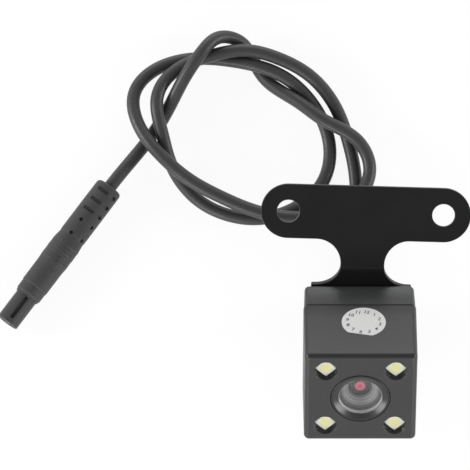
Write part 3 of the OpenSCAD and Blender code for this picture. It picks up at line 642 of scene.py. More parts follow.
work(cover_moulding, turned("stem_bore", [(0, -1), (stem_hole_r, -1), (stem_hole_r, 4), (0, 4)], 72),
    "DIFFERENCE")
settle(cover_moulding, abs_cover_painted_light)
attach(cover_moulding, "camera")
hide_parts("rear_cover")


# ---------------------------------------------------------------- gasket
# A flat gasket, stamped from rubber sheet and squeezed between shell and cover; it shows
# only as a thin dark line round the housing.

# Nitrile rubber, stamped from sheet: deep black and dead matt, with a dry, dusty grain.
nitrile_sheet = clouded("nitrile_rubber_sheet", 0.4, 3.0, "#121213", "#222224", 0.8, {"IOR": 1.52}, 0.3,
    0.00004)
frame["nodes"]["cover_gasket"].material_slots[0].material = nitrile_sheet


# ---------------------------------------------------------------- cover screws
# Four self-tapping screws hold the cover: pan heads with a cross recess, sunk in their
# counterbores at the corners of the back face.

# Carbon steel, zinc plated: a cool grey shine with the soft blotches of passivation.
steel_plated = clouded("steel_zinc_plated", 1.5, 4.0, "#a4a6a8", "#c8cacc", (0.22, 0.42), {"Metallic": 1.0})

head_r, shank_r, screw_tip = 1.5, 0.9, 13
blade_half, blade_half_w, blade_floor = 0.95, 0.17, 1.5
screw_set = turned("screw_set", soften([(0, 0.8, 0), (1.25, 0.85, 0.5), (head_r, 1.35, 0.3),
    (head_r, head_seat, 0.05), (shank_r, head_seat, 0.05), (shank_r, screw_tip - 1, 0.1),
    (0.2, screw_tip, 0.1), (0, screw_tip, 0)]), 48)
for turn in (0, 90):
    blade = pressed("blade", [(x * blade_half, y * blade_half_w) for x,
        y in ((-1, -1), (1, -1), (1, 1), (-1, 1))], 0.4, blade_floor,
        Matrix.Rotation(math.radians(turn), 4, "Z"))
    work(screw_set, blade, "DIFFERENCE")
set_copies(screw_set, set_at_corners, **screw_spread, finish=steel_plated)
settle(screw_set, steel_plated)
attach(screw_set, "camera")
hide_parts("cover_screws")


# ---------------------------------------------------------------- month label
# A round white sticker on the top face, cut straight along one side, with the months
# printed round its edge like the numbers of a dial. Its middle is left bare.
label_r, label_flat = 5.06, 4.25
label_at = (0.78, 13.92)
label_turn = math.radians(-12)
film_t = 0.12
dial_across, dial_up, dial_low = 3.82, 3.55, 0.04
number_h, ink_t = 1.42, 0.008

# Vinyl film, die cut: bright white with a faint warm cast, smooth but for the slight
# orange peel of the shell's grain that presses through it.
vinyl_white, tree, object_at = new_pattern("vinyl_film_white")
peel = add(tree, "TexNoise", {"Vector": object_at, "Scale": 1000 / 0.7, "Detail": 2.0})
handling = add(tree, "TexNoise", {"Vector": object_at, "Scale": 1000 / 3.5, "Detail": 3.0})
vinyl_tint = add(tree, "Mix", {0: handling, 6: "#e4e4e3", 7: "#efefee"}, data_type="RGBA")
vinyl_bump = add(tree, "Bump", {"Strength": 0.25, "Distance": 0.00003, "Height": peel})
surface = add(tree, "BsdfPrincipled", {"Base Color": vinyl_tint.outputs[2], "Roughness": 0.42,
    "Normal": vinyl_bump, "IOR": 1.46})
add(tree, "OutputMaterial", {"Surface": surface})

# Screen ink: dark grey and matt, thin enough for the white to grey its edges.
ink_print = clouded("ink_screen_print", 0.3, 2.0, "#131416", "#242528", 0.6, {"IOR": 1.5})


def onto_top(x, y, lift):
    """A point of the label's own drawing, on the shell's drafted top face."""
    a = x * math.cos(label_turn) - y * math.sin(label_turn)
    b = x * math.sin(label_turn) + y * math.cos(label_turn)
    z = label_at[1] - b
    return Vector((label_at[0] + a, side_at(z) + lift, z))


label_edge = [(label_r * math.cos(a), label_r * math.sin(a))
    for a in (2 * math.pi * k / 120 for k in range(120))]
label_edge = [(x, y) for x, y in label_edge if y > -label_flat + 0.02]
label_cut = math.sqrt(label_r ** 2 - label_flat ** 2)
first = max(range(len(label_edge)), key=lambda k: (label_edge[k][0] - label_edge[k - 1][0])
    if label_edge[k][1] < -3 else 0)
label_edge = label_edge[first:] + label_edge[:first]
label_edge = [(label_cut, -label_flat)] + label_edge + [(-label_cut, -label_flat)]
month_dial = stacked("month_dial", [[onto_top(x * share, y * share, lift) for x, y in label_edge]
    for share, lift in ((1, -0.02), (1, 0.09), (0.992, film_t - 0.005), (0.98, film_t))])
settle(month_dial, vinyl_white, 60)
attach(month_dial, "camera")
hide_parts("month_label")

number_parts = []
for month in range(1, 13):
    writing = bpy.data.curves.new(f"month_{month}", "FONT")
    writing.body, writing.size = str(month), number_h
    writing.align_x, writing.align_y = "CENTER", "CENTER"
    writing.extrude, writing.resolution_u, writing.offset = ink_t, 3, 0.022
    text = linked(f"month_{month}", writing)
    mesh = worked_out(text)
    bpy.data.objects.remove(text)
    a = math.radians(90 - 30 * month)
    for vertex in mesh.vertices:
        x, y, z = vertex.co
        vertex.co = onto_top(dial_across * math.cos(a) + x, dial_up * math.sin(a) - dial_low + y, film_t
            + 0.002 + z)
    number_parts.append(linked(f"number_{month}", mesh))
month_numbers = joined("month_numbers", number_parts)
month_numbers.data.materials.append(ink_print)
month_numbers.data.transform(camera_place)
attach(month_numbers, "camera")


# ---------------------------------------------------------------- lens bezel and seal
# The bezel is a glossy ring pushed into the lens hole from inside: flush with the front
# face, it falls in a shallow cone to the glass, and its flange presses on the seal.

# Black ABS from a polished tool: it mirrors softly, so the cone shows the lights at its
# sides and the dark room in its middle.
abs_polished = clouded("abs_polished_black", 2.2, 2.0, "#131314", "#1a1a1b", (0.22, 0.27), {"IOR": 1.53})

bezel_r, flange_r, flange_back, flange_front = 6.8, 7.8, 22.5, 23.3
bezel_front, cone_foot_r, glass_seat_r, barrel_seat_r = body_d - 0.02, 5.05, 5.25, 5.9
barrel_front = 24.3
bezel_ring = turned("bezel_ring", soften([(barrel_seat_r, flange_back, 0.05),
    (flange_r, flange_back, 0.1), (flange_r, flange_front, 0.1), (bezel_r, flange_front, 0.05),
    (bezel_r, bezel_front, 0.14), (6.25, bezel_front, 0.3), (cone_foot_r, 25.2, 0.25), (5.0, 25.1, 0.02),
    (glass_seat_r, 25.1, 0.02), (glass_seat_r, barrel_front, 0.02), (barrel_seat_r, barrel_front, 0.02)],
    closed=True, steps=6), 144, closed=True)
settle(bezel_ring, abs_polished)
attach(bezel_ring, "camera")
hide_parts("lens_bezel")
frame["nodes"]["lens_seal"].material_slots[0].material = nitrile_sheet


# ---------------------------------------------------------------- front glass
# A thin polished disc with a shallow dome closes the lens. It sits in the bezel, on the
# barrel's lip; its ground edge is a piece of its own and reads as a pale ring.

# Crown glass, polished and clear. Lamps shine through it.
crown_glass, tree, object_at = new_pattern("crown_glass_polished")
smear = add(tree, "TexNoise", {"Vector": object_at, "Scale": 1000 / 2.5, "Detail": 3.0})
glass_shine = add(tree, "MapRange", {"Value": smear, "To Min": 0.0, "To Max": 0.06})
ray = add(tree, "LightPath")
glass_body = add(tree, "BsdfPrincipled", {"Base Color": "#fafafa", "Roughness": glass_shine, "IOR": 1.45,
    "Transmission Weight": 1.0})
let_through = add(tree, "BsdfTransparent", {"Color": "#fafafa"})
surface = add(tree, "MixShader", {0: ray.outputs["Is Shadow Ray"], 1: glass_body, 2: let_through})
add(tree, "OutputMaterial", {"Surface": surface})


def domed(rim_r, z, height, steps=12):
    """The outline of a shallow dome, from its rim to the axis."""
    ball = (rim_r ** 2 + height ** 2) / (2 * height)
    span = math.asin(rim_r / ball)
    return [(ball * math.sin(span * (1 - k / steps)), z
        + height - ball * (1 - math.cos(span * (1 - k / steps)))) for k in range(steps + 1)]


glass_r, glass_back, glass_rim_z = 4.93, 24.86, 25.12
glass_window = turned("glass_window", [(0, glass_back), (glass_r, glass_back), (glass_r, glass_rim_z)]
    + domed(4.88, 25.13, 0.2), 144)
settle(glass_window, crown_glass, 50)
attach(glass_window, "camera")
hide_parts("front_lens")

# Glass, ground on its edge: a frosted pale grey that catches the light under the rim.
glass_ground = clouded("glass_ground_edge", 0.3, 2.0, "#c6c7c8", "#dddedf", 0.5, {"IOR": 1.5})
rim_in, rim_out, rim_back = 4.945, 5.18, 24.33
glass_rim = turned("glass_rim", soften([(rim_in, rim_back, 0.01), (rim_out, rim_back, 0.05),
    (rim_out, 25.06, 0.05), (rim_in, 25.1, 0.02)], closed=True), 144, closed=True)
settle(glass_rim, glass_ground, 50)
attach(glass_rim, "camera")


# ---------------------------------------------------------------- lens barrel
# The barrel is turned from aluminium bar. Its front is a stepped funnel, which keeps
# stray light off the small lens at its foot.

# Aluminium, turned and satin anodised: pale grey with fine tool rings about the axis. Its
# tint is painted by height: painted shade at the foot and under the glass, and a painted
# highlight at the cut lip. The dark rings at the corners of its shallow steps are painted shade.
aluminium_turned, tree, object_at = new_pattern("aluminium_turned_anodised")
barrel_at = add(tree, "Mapping", {"Vector": object_at, **camera_mm})
barrel_xyz = add(tree, "SeparateXYZ", {0: barrel_at})
tool_rings_and_step_shade = add(tree, "TexWave", {"Vector": barrel_at, "Scale": 0.683, "Distortion": 0.5, "Detail": 1.0},
    wave_type="RINGS", rings_direction="Z")
barrel_height = add(tree, "MapRange", {"Value": barrel_xyz.outputs["Z"], "From Min": 21.3,
    "From Max": 24.3})
# Painted light by height: the dark stops are painted shade, the pale stops at the lip a painted highlight.
barrel_painted_light_tint = add(tree, "ValToRGB", {0: barrel_height})
barrel_painted_light_stops = barrel_painted_light_tint.color_ramp.elements
barrel_painted_light_stops[0].position, barrel_painted_light_stops[0].color = 0.0, linear("#2c2d2d")
barrel_painted_light_stops[1].position, barrel_painted_light_stops[1].color = 1.0, linear("#d2d3d4")
for place, shade in ((0.08, "#3a3b3b"), (0.17, "#808182"), (0.45, "#98999a"), (0.58, "#6e6f70"),
        (0.68, "#3e3f40"), (0.85, "#343536"), (0.88, "#d6d7d8")):
    barrel_painted_light_stops.new(place).color = linear(shade)
# The tool rings darken the corners of the steps: painted shade.
painted_step_shade = add(tree, "MapRange", {"Value": tool_rings_and_step_shade.outputs["Fac"], "From Max": 0.5, "To Min": 0.62,
    "To Max": 1.06})
barrel_tint_with_painted_shade = add(tree, "VectorMath", {0: barrel_painted_light_tint, 1: painted_step_shade}, operation="MULTIPLY")
barrel_shine = add(tree, "MapRange", {"Value": tool_rings_and_step_shade.outputs["Fac"], "To Min": 0.34, "To Max": 0.42})
barrel_bump = add(tree, "Bump", {"Strength": 0.4, "Distance": 0.00005, "Height": tool_rings_and_step_shade.outputs["Fac"]})
surface = add(tree, "BsdfPrincipled", {"Base Color": barrel_tint_with_painted_shade, "Metallic": 0.35,
    "Roughness": barrel_shine, "Normal": barrel_bump})
add(tree, "OutputMaterial", {"Surface": surface})

barrel_r, barrel_back, bore_r = 5.8, 13.1, 3.05
mouth_r, throat_r, throat_z = 4.92, 2.4, 21.3
step_first_r, step_first_z, step_in, step_down, steps_down = 4.74, 23.66, 0.46, 0.42, 5
funnel = [(barrel_r, barrel_back, 0.1), (barrel_r, barrel_front, 0.1), (mouth_r, barrel_front, 0.04),
    (4.88, 23.72, 0.06)]
for k in range(steps_down):
    r, z = step_first_r - step_in * k, step_first_z - step_down * k
    funnel += [(r, z, 0.1), (r - 0.07, z - 0.1, 0.05)]
funnel += [(2.46, 21.52, 0.04), (throat_r, throat_z, 0.02), (bore_r, throat_z, 0.02),
    (bore_r, barrel_back, 0.05)]
barrel_funnel = turned("barrel_funnel", soften(funnel, closed=True, steps=3), 144, closed=True)
settle(barrel_funnel, aluminium_turned, 40)
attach(barrel_funnel, "camera")
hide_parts("lens_barrel")


# ---------------------------------------------------------------- inner lens
# The small front element of the lens itself sits at the foot of the funnel; the red
# reflection of its coating and the shade of the dark stop behind it are painted into its colour.

# Coated optical glass under a polished surface: a rose painted reflection of the coating
# in the middle and a deep wine-black painted shade at the rim.
glass_coated, tree, object_at = new_pattern("optical_glass_coated")
pupil_at = add(tree, "Mapping", {"Vector": object_at, **camera_mm})
pupil_flat = add(tree, "VectorMath", {0: pupil_at, 1: (1, 1, 0)}, operation="MULTIPLY")
pupil_out = add(tree, "VectorMath", {0: pupil_flat}, operation="LENGTH")
reflection_edge_noise = add(tree, "TexNoise", {"Vector": pupil_at, "Scale": 1 / 0.8, "Detail": 1.0})
reflection_radius = add(tree, "Math", {0: reflection_edge_noise, 1: 0.25, 2: pupil_out.outputs["Value"]},
    operation="MULTIPLY_ADD")
rim_shade_share = add(tree, "MapRange", {"Value": reflection_radius, "From Min": 1.08, "From Max": 1.45},
    interpolation_type="SMOOTHSTEP")
reflection_core_share = add(tree, "MapRange", {"Value": reflection_radius, "From Min": 0.2, "From Max": 1.1},
    interpolation_type="SMOOTHSTEP")
# Painted reflection of the coating in the middle, with painted shade round it.
painted_reflection_tint = add(tree, "Mix", {0: reflection_core_share, 6: "#a02a43", 7: "#aa5c6a"}, data_type="RGBA")
pupil_painted_light_tint = add(tree, "Mix", {0: rim_shade_share, 6: painted_reflection_tint.outputs[2], 7: "#262122"}, data_type="RGBA")
surface = add(tree, "BsdfPrincipled", {"Base Color": pupil_painted_light_tint.outputs[2], "Roughness": 0.3, "IOR": 1.5,
    "Specular IOR Level": 0.3, "Coat Weight": 0.3, "Coat Roughness": 0.05})
add(tree, "OutputMaterial", {"Surface": surface})

pupil_r, pupil_back, pupil_front = 3.0, 19.69, 21.2
pupil_lens = turned("pupil_lens", [(0, pupil_back), (pupil_r - 0.1, pupil_back),
    (pupil_r, pupil_back + 0.1), (pupil_r, pupil_front), (2.92, 21.28), (2.36, 21.29)]
    + domed(2.3, throat_z, 0.22), 96)
settle(pupil_lens, glass_coated, 50)
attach(pupil_lens, "camera")
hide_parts("inner_lens")


# ---------------------------------------------------------------- lights
# Four white light-emitting diodes look out of the corners. Each is a square package set
# on its point, with a round well of yellow phosphor, behind a clear potted window.

# White epoxy moulding compound: bright, opaque and satin.
epoxy_white = clouded("epoxy_white_package", 0.9, 2.0, "#f2f2ec", "#fafaf7", 0.4, {"IOR": 1.5})

# Silicone filled with phosphor: lemon yellow and soft, grained with powder, and paler
# towards the rim of its well, where the layer thins.
phosphor_gel, tree, object_at = new_pattern("silicone_phosphor")
powder = add(tree, "TexNoise", {"Vector": object_at, "Scale": 1000 / 0.25, "Detail": 3.0})
gel_at = add(tree, "Mapping", {"Vector": object_at, **camera_mm})
gel_folded = add(tree, "VectorMath", {0: gel_at}, operation="ABSOLUTE")
gel_centred = add(tree, "VectorMath", {0: gel_folded, 1: (led_x, led_y, 0)}, operation="SUBTRACT")
gel_flat = add(tree, "VectorMath", {0: gel_centred, 1: (1, 1, 0)}, operation="MULTIPLY")
gel_out = add(tree, "VectorMath", {0: gel_flat}, operation="LENGTH")
gel_thin = add(tree, "MapRange", {"Value": gel_out.outputs["Value"], "From Min": 0.8, "From Max": 1.5},
    interpolation_type="SMOOTHSTEP")
gel_tint = add(tree, "Mix", {0: powder, 6: "#f4f1ac", 7: "#f9f6c2"}, data_type="RGBA")
gel_edge = add(tree, "Mix", {0: gel_thin, 6: gel_tint.outputs[2], 7: "#f8f5dc"}, data_type="RGBA")
surface = add(tree, "BsdfPrincipled", {"Base Color": gel_edge.outputs[2], "Roughness": 0.4, "IOR": 1.41})
add(tree, "OutputMaterial", {"Surface": surface})

# Clear epoxy, thin and flush with the plastic: it bends the light too little to see, so
# only its shine and the slight ripple of a poured surface show.
epoxy_clear, tree, object_at = new_pattern("epoxy_clear_potted")
pour = add(tree, "TexNoise", {"Vector": object_at, "Scale": 1000 / 1.6, "Detail": 1.0})
pour_bump = add(tree, "Bump", {"Strength": 0.2, "Distance": 0.00006, "Height": pour})
ray = add(tree, "LightPath")
mirrored = add(tree, "Fresnel", {"IOR": 1.3, "Normal": pour_bump})
unlit = add(tree, "Math", {0: 1.0, 1: ray.outputs["Is Shadow Ray"]}, operation="SUBTRACT")
facing = add(tree, "NewGeometry")
ahead = add(tree, "VectorMath", {0: facing.outputs["True Normal"],
    1: tuple(camera_place.to_3x3().normalized().col[2])}, operation="DOT_PRODUCT")
front_only = add(tree, "MapRange", {"Value": ahead.outputs["Value"], "From Min": 0.5, "From Max": 0.8})
lit_share = add(tree, "Math", {0: mirrored, 1: unlit}, operation="MULTIPLY")
mirror_share = add(tree, "Math", {0: lit_share, 1: front_only}, operation="MULTIPLY")
see_through = add(tree, "BsdfTransparent", {"Color": "#fbfbf8"})
pane_shine = add(tree, "BsdfGlossy", {"Roughness": 0.06, "Normal": pour_bump})
surface = add(tree, "MixShader", {0: mirror_share, 1: see_through, 2: pane_shine})
add(tree, "OutputMaterial", {"Surface": surface})

led_half, led_front = 3.5 / 2, 24.55
well_r, well_floor, gel_r = 1.45, 24.18, 1.44
pane_r, pane_back = 2.53, 24.57
led_bodies = stacked("led_bodies", [square_ring(led_half, 0.15, seat_low, 3),
    square_ring(led_half, 0.15, led_front - 0.08, 3), square_ring(led_half - 0.06, 0.1, led_front, 3)])
led_bodies.data.transform(Matrix.Rotation(math.radians(45), 4, "Z"))
work(led_bodies, turned("led_well", [(0, well_floor), (well_r, well_floor), (well_r + 0.1, 25.2),
    (0, 25.2)], 48), "DIFFERENCE")
set_copies(led_bodies, set_at_corners, **light_spread, finish=epoxy_white)
settle(led_bodies, epoxy_white)
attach(led_bodies, "camera")
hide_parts("led_packages")

led_spots = turned("led_spots", [(0, well_floor + 0.01), (gel_r, well_floor + 0.01), (1.475, 24.48)]
    + domed(1.46, 24.49, 0.05, 5), 48)
set_copies(led_spots, set_at_corners, **light_spread, finish=phosphor_gel)
settle(led_spots, phosphor_gel)
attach(led_spots, "camera")
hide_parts("led_phosphors")

led_panes = turned("led_panes", soften([(0, pane_back, 0), (pane_r, pane_back, 0.03), (pane_r, 25.4, 0),
    (2.35, 25.25, 0.1), (1.6, 25.18, 0.3), (0, 25.16, 0)]), 64)
set_copies(led_panes, set_at_corners, **light_spread, finish=epoxy_clear)
settle(led_panes, epoxy_clear, 50)
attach(led_panes, "camera")
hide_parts("led_windows")


# ---------------------------------------------------------------- lens holder, spacer and filter
# Behind the barrel, a black moulded holder stands on the main board and carries the
# infrared filter; a turned spacer keeps the filter and the inner lens apart.

# Glass-filled polycarbonate: black and dull, with pale fibres that just show.
polycarbonate_filled, tree, object_at = new_pattern("polycarbonate_glass_filled")
fibre_at = add(tree, "Mapping", {"Vector": object_at, "Scale": (1000 / 0.08, 1000 / 0.5, 1000 / 0.08)})
fibres = add(tree, "TexNoise", {"Vector": fibre_at, "Scale": 1.0, "Detail": 2.0})
fibre_share = add(tree, "MapRange", {"Value": fibres, "From Min": 0.55, "From Max": 0.8})
filled_tint = add(tree, "Mix", {0: fibre_share, 6: "#161718", 7: "#3a3b3c"}, data_type="RGBA")
filled_bump = add(tree, "Bump", {"Strength": 0.3, "Distance": 0.00004, "Height": fibres})
surface = add(tree, "BsdfPrincipled", {"Base Color": filled_tint.outputs[2], "Roughness": 0.52,
    "Normal": filled_bump, "IOR": 1.58})
add(tree, "OutputMaterial", {"Surface": surface})

# Aluminium, anodised black: a dark metal sheen broken by fine rings from the tool.
def fine_grooves(tree, object_at):
    """Waves along the lens axis."""
    spacer_at = add(tree, "Mapping", {"Vector": object_at, **camera_mm})
    return add(tree, "TexWave", {"Vector": spacer_at, "Scale": 1.6, "Distortion": 0.3, "Detail": 1.0},
        bands_direction="Z").outputs["Fac"]


aluminium_black = patterned("aluminium_black_anodised", fine_grooves, "#1c1d1e", "#2a2b2c", 0.38,
    {"Metallic": 0.8}, 0.3, 0.00003)

# Filter glass: its coating passes blue-green light and turns the rest back.
glass_filter, tree, object_at = new_pattern("glass_infrared_filter")
coating = add(tree, "TexNoise", {"Vector": object_at, "Scale": 1000 / 4, "Detail": 1.0})
filter_tint = add(tree, "Mix", {0: coating, 6: "#a9dcd6", 7: "#c3e6ec"}, data_type="RGBA")
ray = add(tree, "LightPath")
filter_body = add(tree, "BsdfPrincipled", {"Base Color": filter_tint.outputs[2], "Roughness": 0.02,
    "IOR": 1.5, "Transmission Weight": 1.0, "Coat Weight": 0.5, "Coat Tint": "#e9b7a6"})
let_through = add(tree, "BsdfTransparent", {"Color": filter_tint.outputs[2]})
surface = add(tree, "MixShader", {0: ray.outputs["Is Shadow Ray"], 1: filter_body, 2: let_through})
add(tree, "OutputMaterial", {"Surface": surface})

for name, finish in (("lens_holder", polycarbonate_filled), ("lens_spacer", aluminium_black),
        ("ir_filter", glass_filter)):
    frame["nodes"][name].material_slots[0].material = finish


# ---------------------------------------------------------------- image sensor
# The sensor is a square ceramic package on the main board, with the chip under its lid.

# Ceramic, with the chip's field of picture cells in the middle: grey-brown round a dark
# square with a fine grid, tinted violet as a painted sheen.
ceramic_sensor, tree, object_at = new_pattern("ceramic_sensor_package")
sensor_at = add(tree, "Mapping", {"Vector": object_at, **camera_mm})
sensor_folded = add(tree, "VectorMath", {0: sensor_at}, operation="ABSOLUTE")
sensor_xyz = add(tree, "SeparateXYZ", {0: sensor_folded})
sensor_out = add(tree, "Math", {0: sensor_xyz.outputs["X"], 1: sensor_xyz.outputs["Y"]},
    operation="MAXIMUM")
chip_share = add(tree, "MapRange", {"Value": sensor_out, "From Min": 2.30, "From Max": 2.34})
# The cells' violet tones are a painted sheen.
cell_grid_painted_sheen = add(tree, "TexChecker", {"Vector": sensor_at, "Color1": "#171a24", "Color2": "#251c33",
    "Scale": 8.0})
firing = add(tree, "TexNoise", {"Vector": sensor_at, "Scale": 1 / 0.5, "Detail": 2.0})
fired_tint = add(tree, "Mix", {0: firing, 6: "#5d5b55", 7: "#716e67"}, data_type="RGBA")
sensor_tint = add(tree, "Mix", {0: chip_share, 6: cell_grid_painted_sheen, 7: fired_tint.outputs[2]}, data_type="RGBA")
sensor_shine = add(tree, "MapRange", {"Value": chip_share, "To Min": 0.12, "To Max": 0.5})
surface = add(tree, "BsdfPrincipled", {"Base Color": sensor_tint.outputs[2], "Roughness": sensor_shine,
    "IOR": 1.6})
add(tree, "OutputMaterial", {"Surface": surface})
frame["nodes"]["image_sensor"].material_slots[0].material = ceramic_sensor


# ---------------------------------------------------------------- circuit boards
# The main board sits on the shell's posts and carries the sensor in front and the chips
# behind; the light board lies under the front face. Pins join the two.


def masked_board(name, mask, over_copper):
    """Glass-epoxy board under solder mask: smooth and glossy, with copper tracks that
    show through the mask as slightly raised, paler lines."""
    finish, tree, object_at = new_pattern(name)
    board_at = add(tree, "Mapping", {"Vector": object_at, **camera_mm})
    tracks = add(tree, "TexBrick", {"Vector": board_at, "Color1": mask, "Color2": mask,
        "Mortar": over_copper, "Scale": 1.0, "Mortar Size": 0.09, "Mortar Smooth": 0.2,
        "Brick Width": 2.4, "Row Height": 0.8})
    weave = add(tree, "TexNoise", {"Vector": board_at, "Scale": 1 / 0.6, "Detail": 2.0})
    shade = add(tree, "MapRange", {"Value": weave, "To Min": 0.88, "To Max": 1.1})
    colour = add(tree, "VectorMath", {0: tracks, 1: shade}, operation="MULTIPLY")
    raised = add(tree, "Bump", {"Strength": 0.3, "Distance": 0.00004, "Height": tracks.outputs["Fac"]})
    surface = add(tree, "BsdfPrincipled", {"Base Color": colour, "Roughness": 0.24, "Normal": raised,
        "IOR": 1.55})
    add(tree, "OutputMaterial", {"Surface": surface})
    return finish


for name, finish in (("main_board", masked_board("solder_mask_green", "#14512f", "#2c7a49")),
        ("led_board", masked_board("solder_mask_black", "#222423", "#343735")),
        ("link_pins", brass_flash), ("board_screws", steel_plated)):
    frame["nodes"][name].material_slots[0].material = finish


# ---------------------------------------------------------------- board chips, header and leads
# Moulded chips and a nylon header sit on the back of the main board. Four leads run from
# the header into the hollow stem, where they meet the cable.

# Epoxy moulding compound: black, dull, and faintly speckled with silica.
epoxy_moulded = patterned("epoxy_moulded_chip", lambda tree, object_at: add(tree, "TexVoronoi",
    {"Vector": object_at, "Scale": 1000 / 0.12}).outputs[0], "#1f2022", "#17181a", 0.48, {"IOR": 1.55})

# Natural nylon: warm ivory, a little see-through, with the swirl of the melt.
nylon_natural = patterned("nylon_natural", lambda tree, object_at: add(tree, "TexNoise",
    {"Vector": object_at, "Scale": 1000 / 1.2, "Detail": 2.0, "Distortion": 1.0}).outputs[0],
    "#d9d0b4", "#e8e1ca", 0.4, {"IOR": 1.53, "Subsurface Weight": 0.1, "Subsurface Scale": 0.0006})

# PVC insulation: glossy, one colour for each lead (red, white, yellow, black). They fan
# out from the stem to the header, so what divides them leans with the height.
pvc_leads, tree, object_at = new_pattern("pvc_lead_colours")
lead_at = add(tree, "Mapping", {"Vector": object_at, **camera_mm})
lead_xyz = add(tree, "SeparateXYZ", {0: lead_at})
lead_side = add(tree, "Math", {0: lead_xyz.outputs["X"], 1: 0.0}, operation="GREATER_THAN")
lead_off = add(tree, "Math", {0: lead_xyz.outputs["X"]}, operation="ABSOLUTE")
lead_gap = add(tree, "MapRange", {"Value": lead_xyz.outputs["Y"], "From Min": 0.0, "From Max": -5.5,
    "To Min": 0.7, "To Max": 1.5})
lead_outer = add(tree, "Math", {0: lead_off, 1: lead_gap}, operation="GREATER_THAN")
leads_inner = add(tree, "Mix", {0: lead_side, 6: "#dcdcd6", 7: "#d3a91f"}, data_type="RGBA")
leads_outer = add(tree, "Mix", {0: lead_side, 6: "#a5222a", 7: "#1d1d1f"}, data_type="RGBA")
lead_tint = add(tree, "Mix", {0: lead_outer, 6: leads_inner.outputs[2], 7: leads_outer.outputs[2]},
    data_type="RGBA")
draw_marks = add(tree, "TexNoise", {"Vector": object_at, "Scale": 1000 / 0.5, "Detail": 1.0})
lead_shine = add(tree, "MapRange", {"Value": draw_marks, "To Min": 0.22, "To Max": 0.4})
surface = add(tree, "BsdfPrincipled", {"Base Color": lead_tint.outputs[2], "Roughness": lead_shine,
    "IOR": 1.53})
add(tree, "OutputMaterial", {"Surface": surface})

frame["nodes"]["board_chips"].material_slots[0].material = epoxy_moulded
frame["nodes"]["wire_header"].material_slots[0].material = nylon_natural
for lead_part in frame["nodes"]["lead_wires"].material_slots:
    lead_part.material = pvc_leads


# ---------------------------------------------------------------- swivel stem, washer and nut
# The camera turns on a hollow threaded stem. Its head sits inside the cover, the cable
# runs through it, and a washer and a thin nut hold the bracket against the back face.
thread_pitch = 0.8

# Brass, nickel plated: a warm silver with fine turning marks.
def lathe_marks(tree, object_at):
    """Rings about the lens axis."""
    stem_at = add(tree, "Mapping", {"Vector": object_at, **camera_mm})
    return add(tree, "TexWave", {"Vector": stem_at, "Scale": 2.0, "Distortion": 0.8, "Detail": 1.0},
        wave_type="RINGS", rings_direction="Z").outputs["Fac"]


brass_nickel = patterned("brass_nickel_plated", lathe_marks, "#8f8e8a", "#a8a7a2", (0.26, 0.36),
    {"Metallic": 1.0})

thread_sides, thread_rows = 96, 64
stem_r, stem_back, thread_top, thread_crest, thread_deep = 4.0, -5, -1.1, 3.97, 0.3
fade_l, tip_in = 0.35, 0.25
head_back, head_under, stem_head_r, stem_front, hollow_r = -1.15, 1.8, 6, 3, 1.6
thread_points = []
for row in range(thread_rows + 1):
    z = stem_back + (3.9 * row / thread_rows)
    for k in range(thread_sides):
        a = 2 * math.pi * k / thread_sides
        phase = (z / thread_pitch - k / thread_sides) % 1
        fade = min(1, (z - stem_back) / fade_l, (thread_top - z) / 0.1)
        r = thread_crest - thread_deep * abs(2 * phase - 1) * max(fade, 0) - tip_in * max(0,
            1 - (z - stem_back) / fade_l)
        thread_points.append((r * math.cos(a), r * math.sin(a), z))
last_row = thread_rows * thread_sides
stem_tube = drawn_piece("stem_tube", thread_points, between(thread_sides, thread_rows)
    + [tuple(range(thread_sides)), tuple(range(last_row, last_row + thread_sides))])
work(stem_tube, turned("stem_head", soften([(0, head_back, 0), (stem_r, head_back, 0),
    (stem_r, head_under, 0.05), (stem_head_r, head_under, 0.1), (stem_head_r, stem_front, 0.2),
    (0, stem_front, 0)]), 96), "UNION")
work(stem_tube, turned("stem_hole", [(0, -6), (hollow_r, -6), (hollow_r, 4), (0, 4)], 48), "DIFFERENCE")
settle(stem_tube, brass_nickel, 45)
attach(stem_tube, "camera")
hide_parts("gland_stem")

washer_in, washer_r, washer_back, washer_front = 4.06, 6, -2, -1.2
swivel_washer = turned("swivel_washer", soften([(washer_in, washer_back, 0.05),
    (washer_r, washer_back, 0.2), (washer_r, washer_front, 0.08), (washer_in, washer_front, 0.05)],
    closed=True), 96, closed=True)
settle(swivel_washer, steel_plated)
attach(swivel_washer, "camera")
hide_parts("gland_washer")

nut_flats, nut_back = 11, -4.4
nut_r = nut_flats / 2 / math.cos(math.pi / 6)
swivel_nut = pressed("swivel_nut", [(nut_r * math.cos(math.pi / 3 * k), nut_r * math.sin(math.pi / 3 * k))
    for k in range(6)], nut_back, washer_back)
work(swivel_nut, turned("nut_chamfer", soften([(0, nut_back, 0), (5.3, nut_back, 0), (6.6, -3.75, 0),
    (6.6, -2.5, 0), (5.6, washer_back, 0), (0, washer_back, 0)]), 96), "INTERSECT")
work(swivel_nut, turned("nut_bore", soften([(0, -5, 0), (4.5, -5, 0), (4.5, nut_back, 0), (4.02, -4.05, 0),
    (4.02, -1, 0), (0, -1, 0)]), 72), "DIFFERENCE")
settle(swivel_nut, steel_plated, 20)
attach(swivel_nut, "camera")
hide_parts("gland_nut")


# ---------------------------------------------------------------- strain relief
# A short rubber sleeve tapers from the stem to the cable and seals the stem's mouth.
relief_sleeve = turned("relief_sleeve", soften([(1.6, -5, 0), (3.4, -5, 0.3), (3.3, -5.9, 0.2),
    (2.95, -6.1, 0.2), (2.95, -6.5, 0.2), (3.0, -6.9, 0.2), (2.7, -7.2, 0.2), (2.68, -7.6, 0.2),
    (2.72, -8.1, 0.2), (2.4, -8.4, 0.2), (2.35, -relief_end, 0.3), (1.6, -relief_end, 0.1)], closed=True),
    72, closed=True)
settle(relief_sleeve, nitrile_sheet, 50)
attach(relief_sleeve, "camera")
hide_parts("strain_relief")


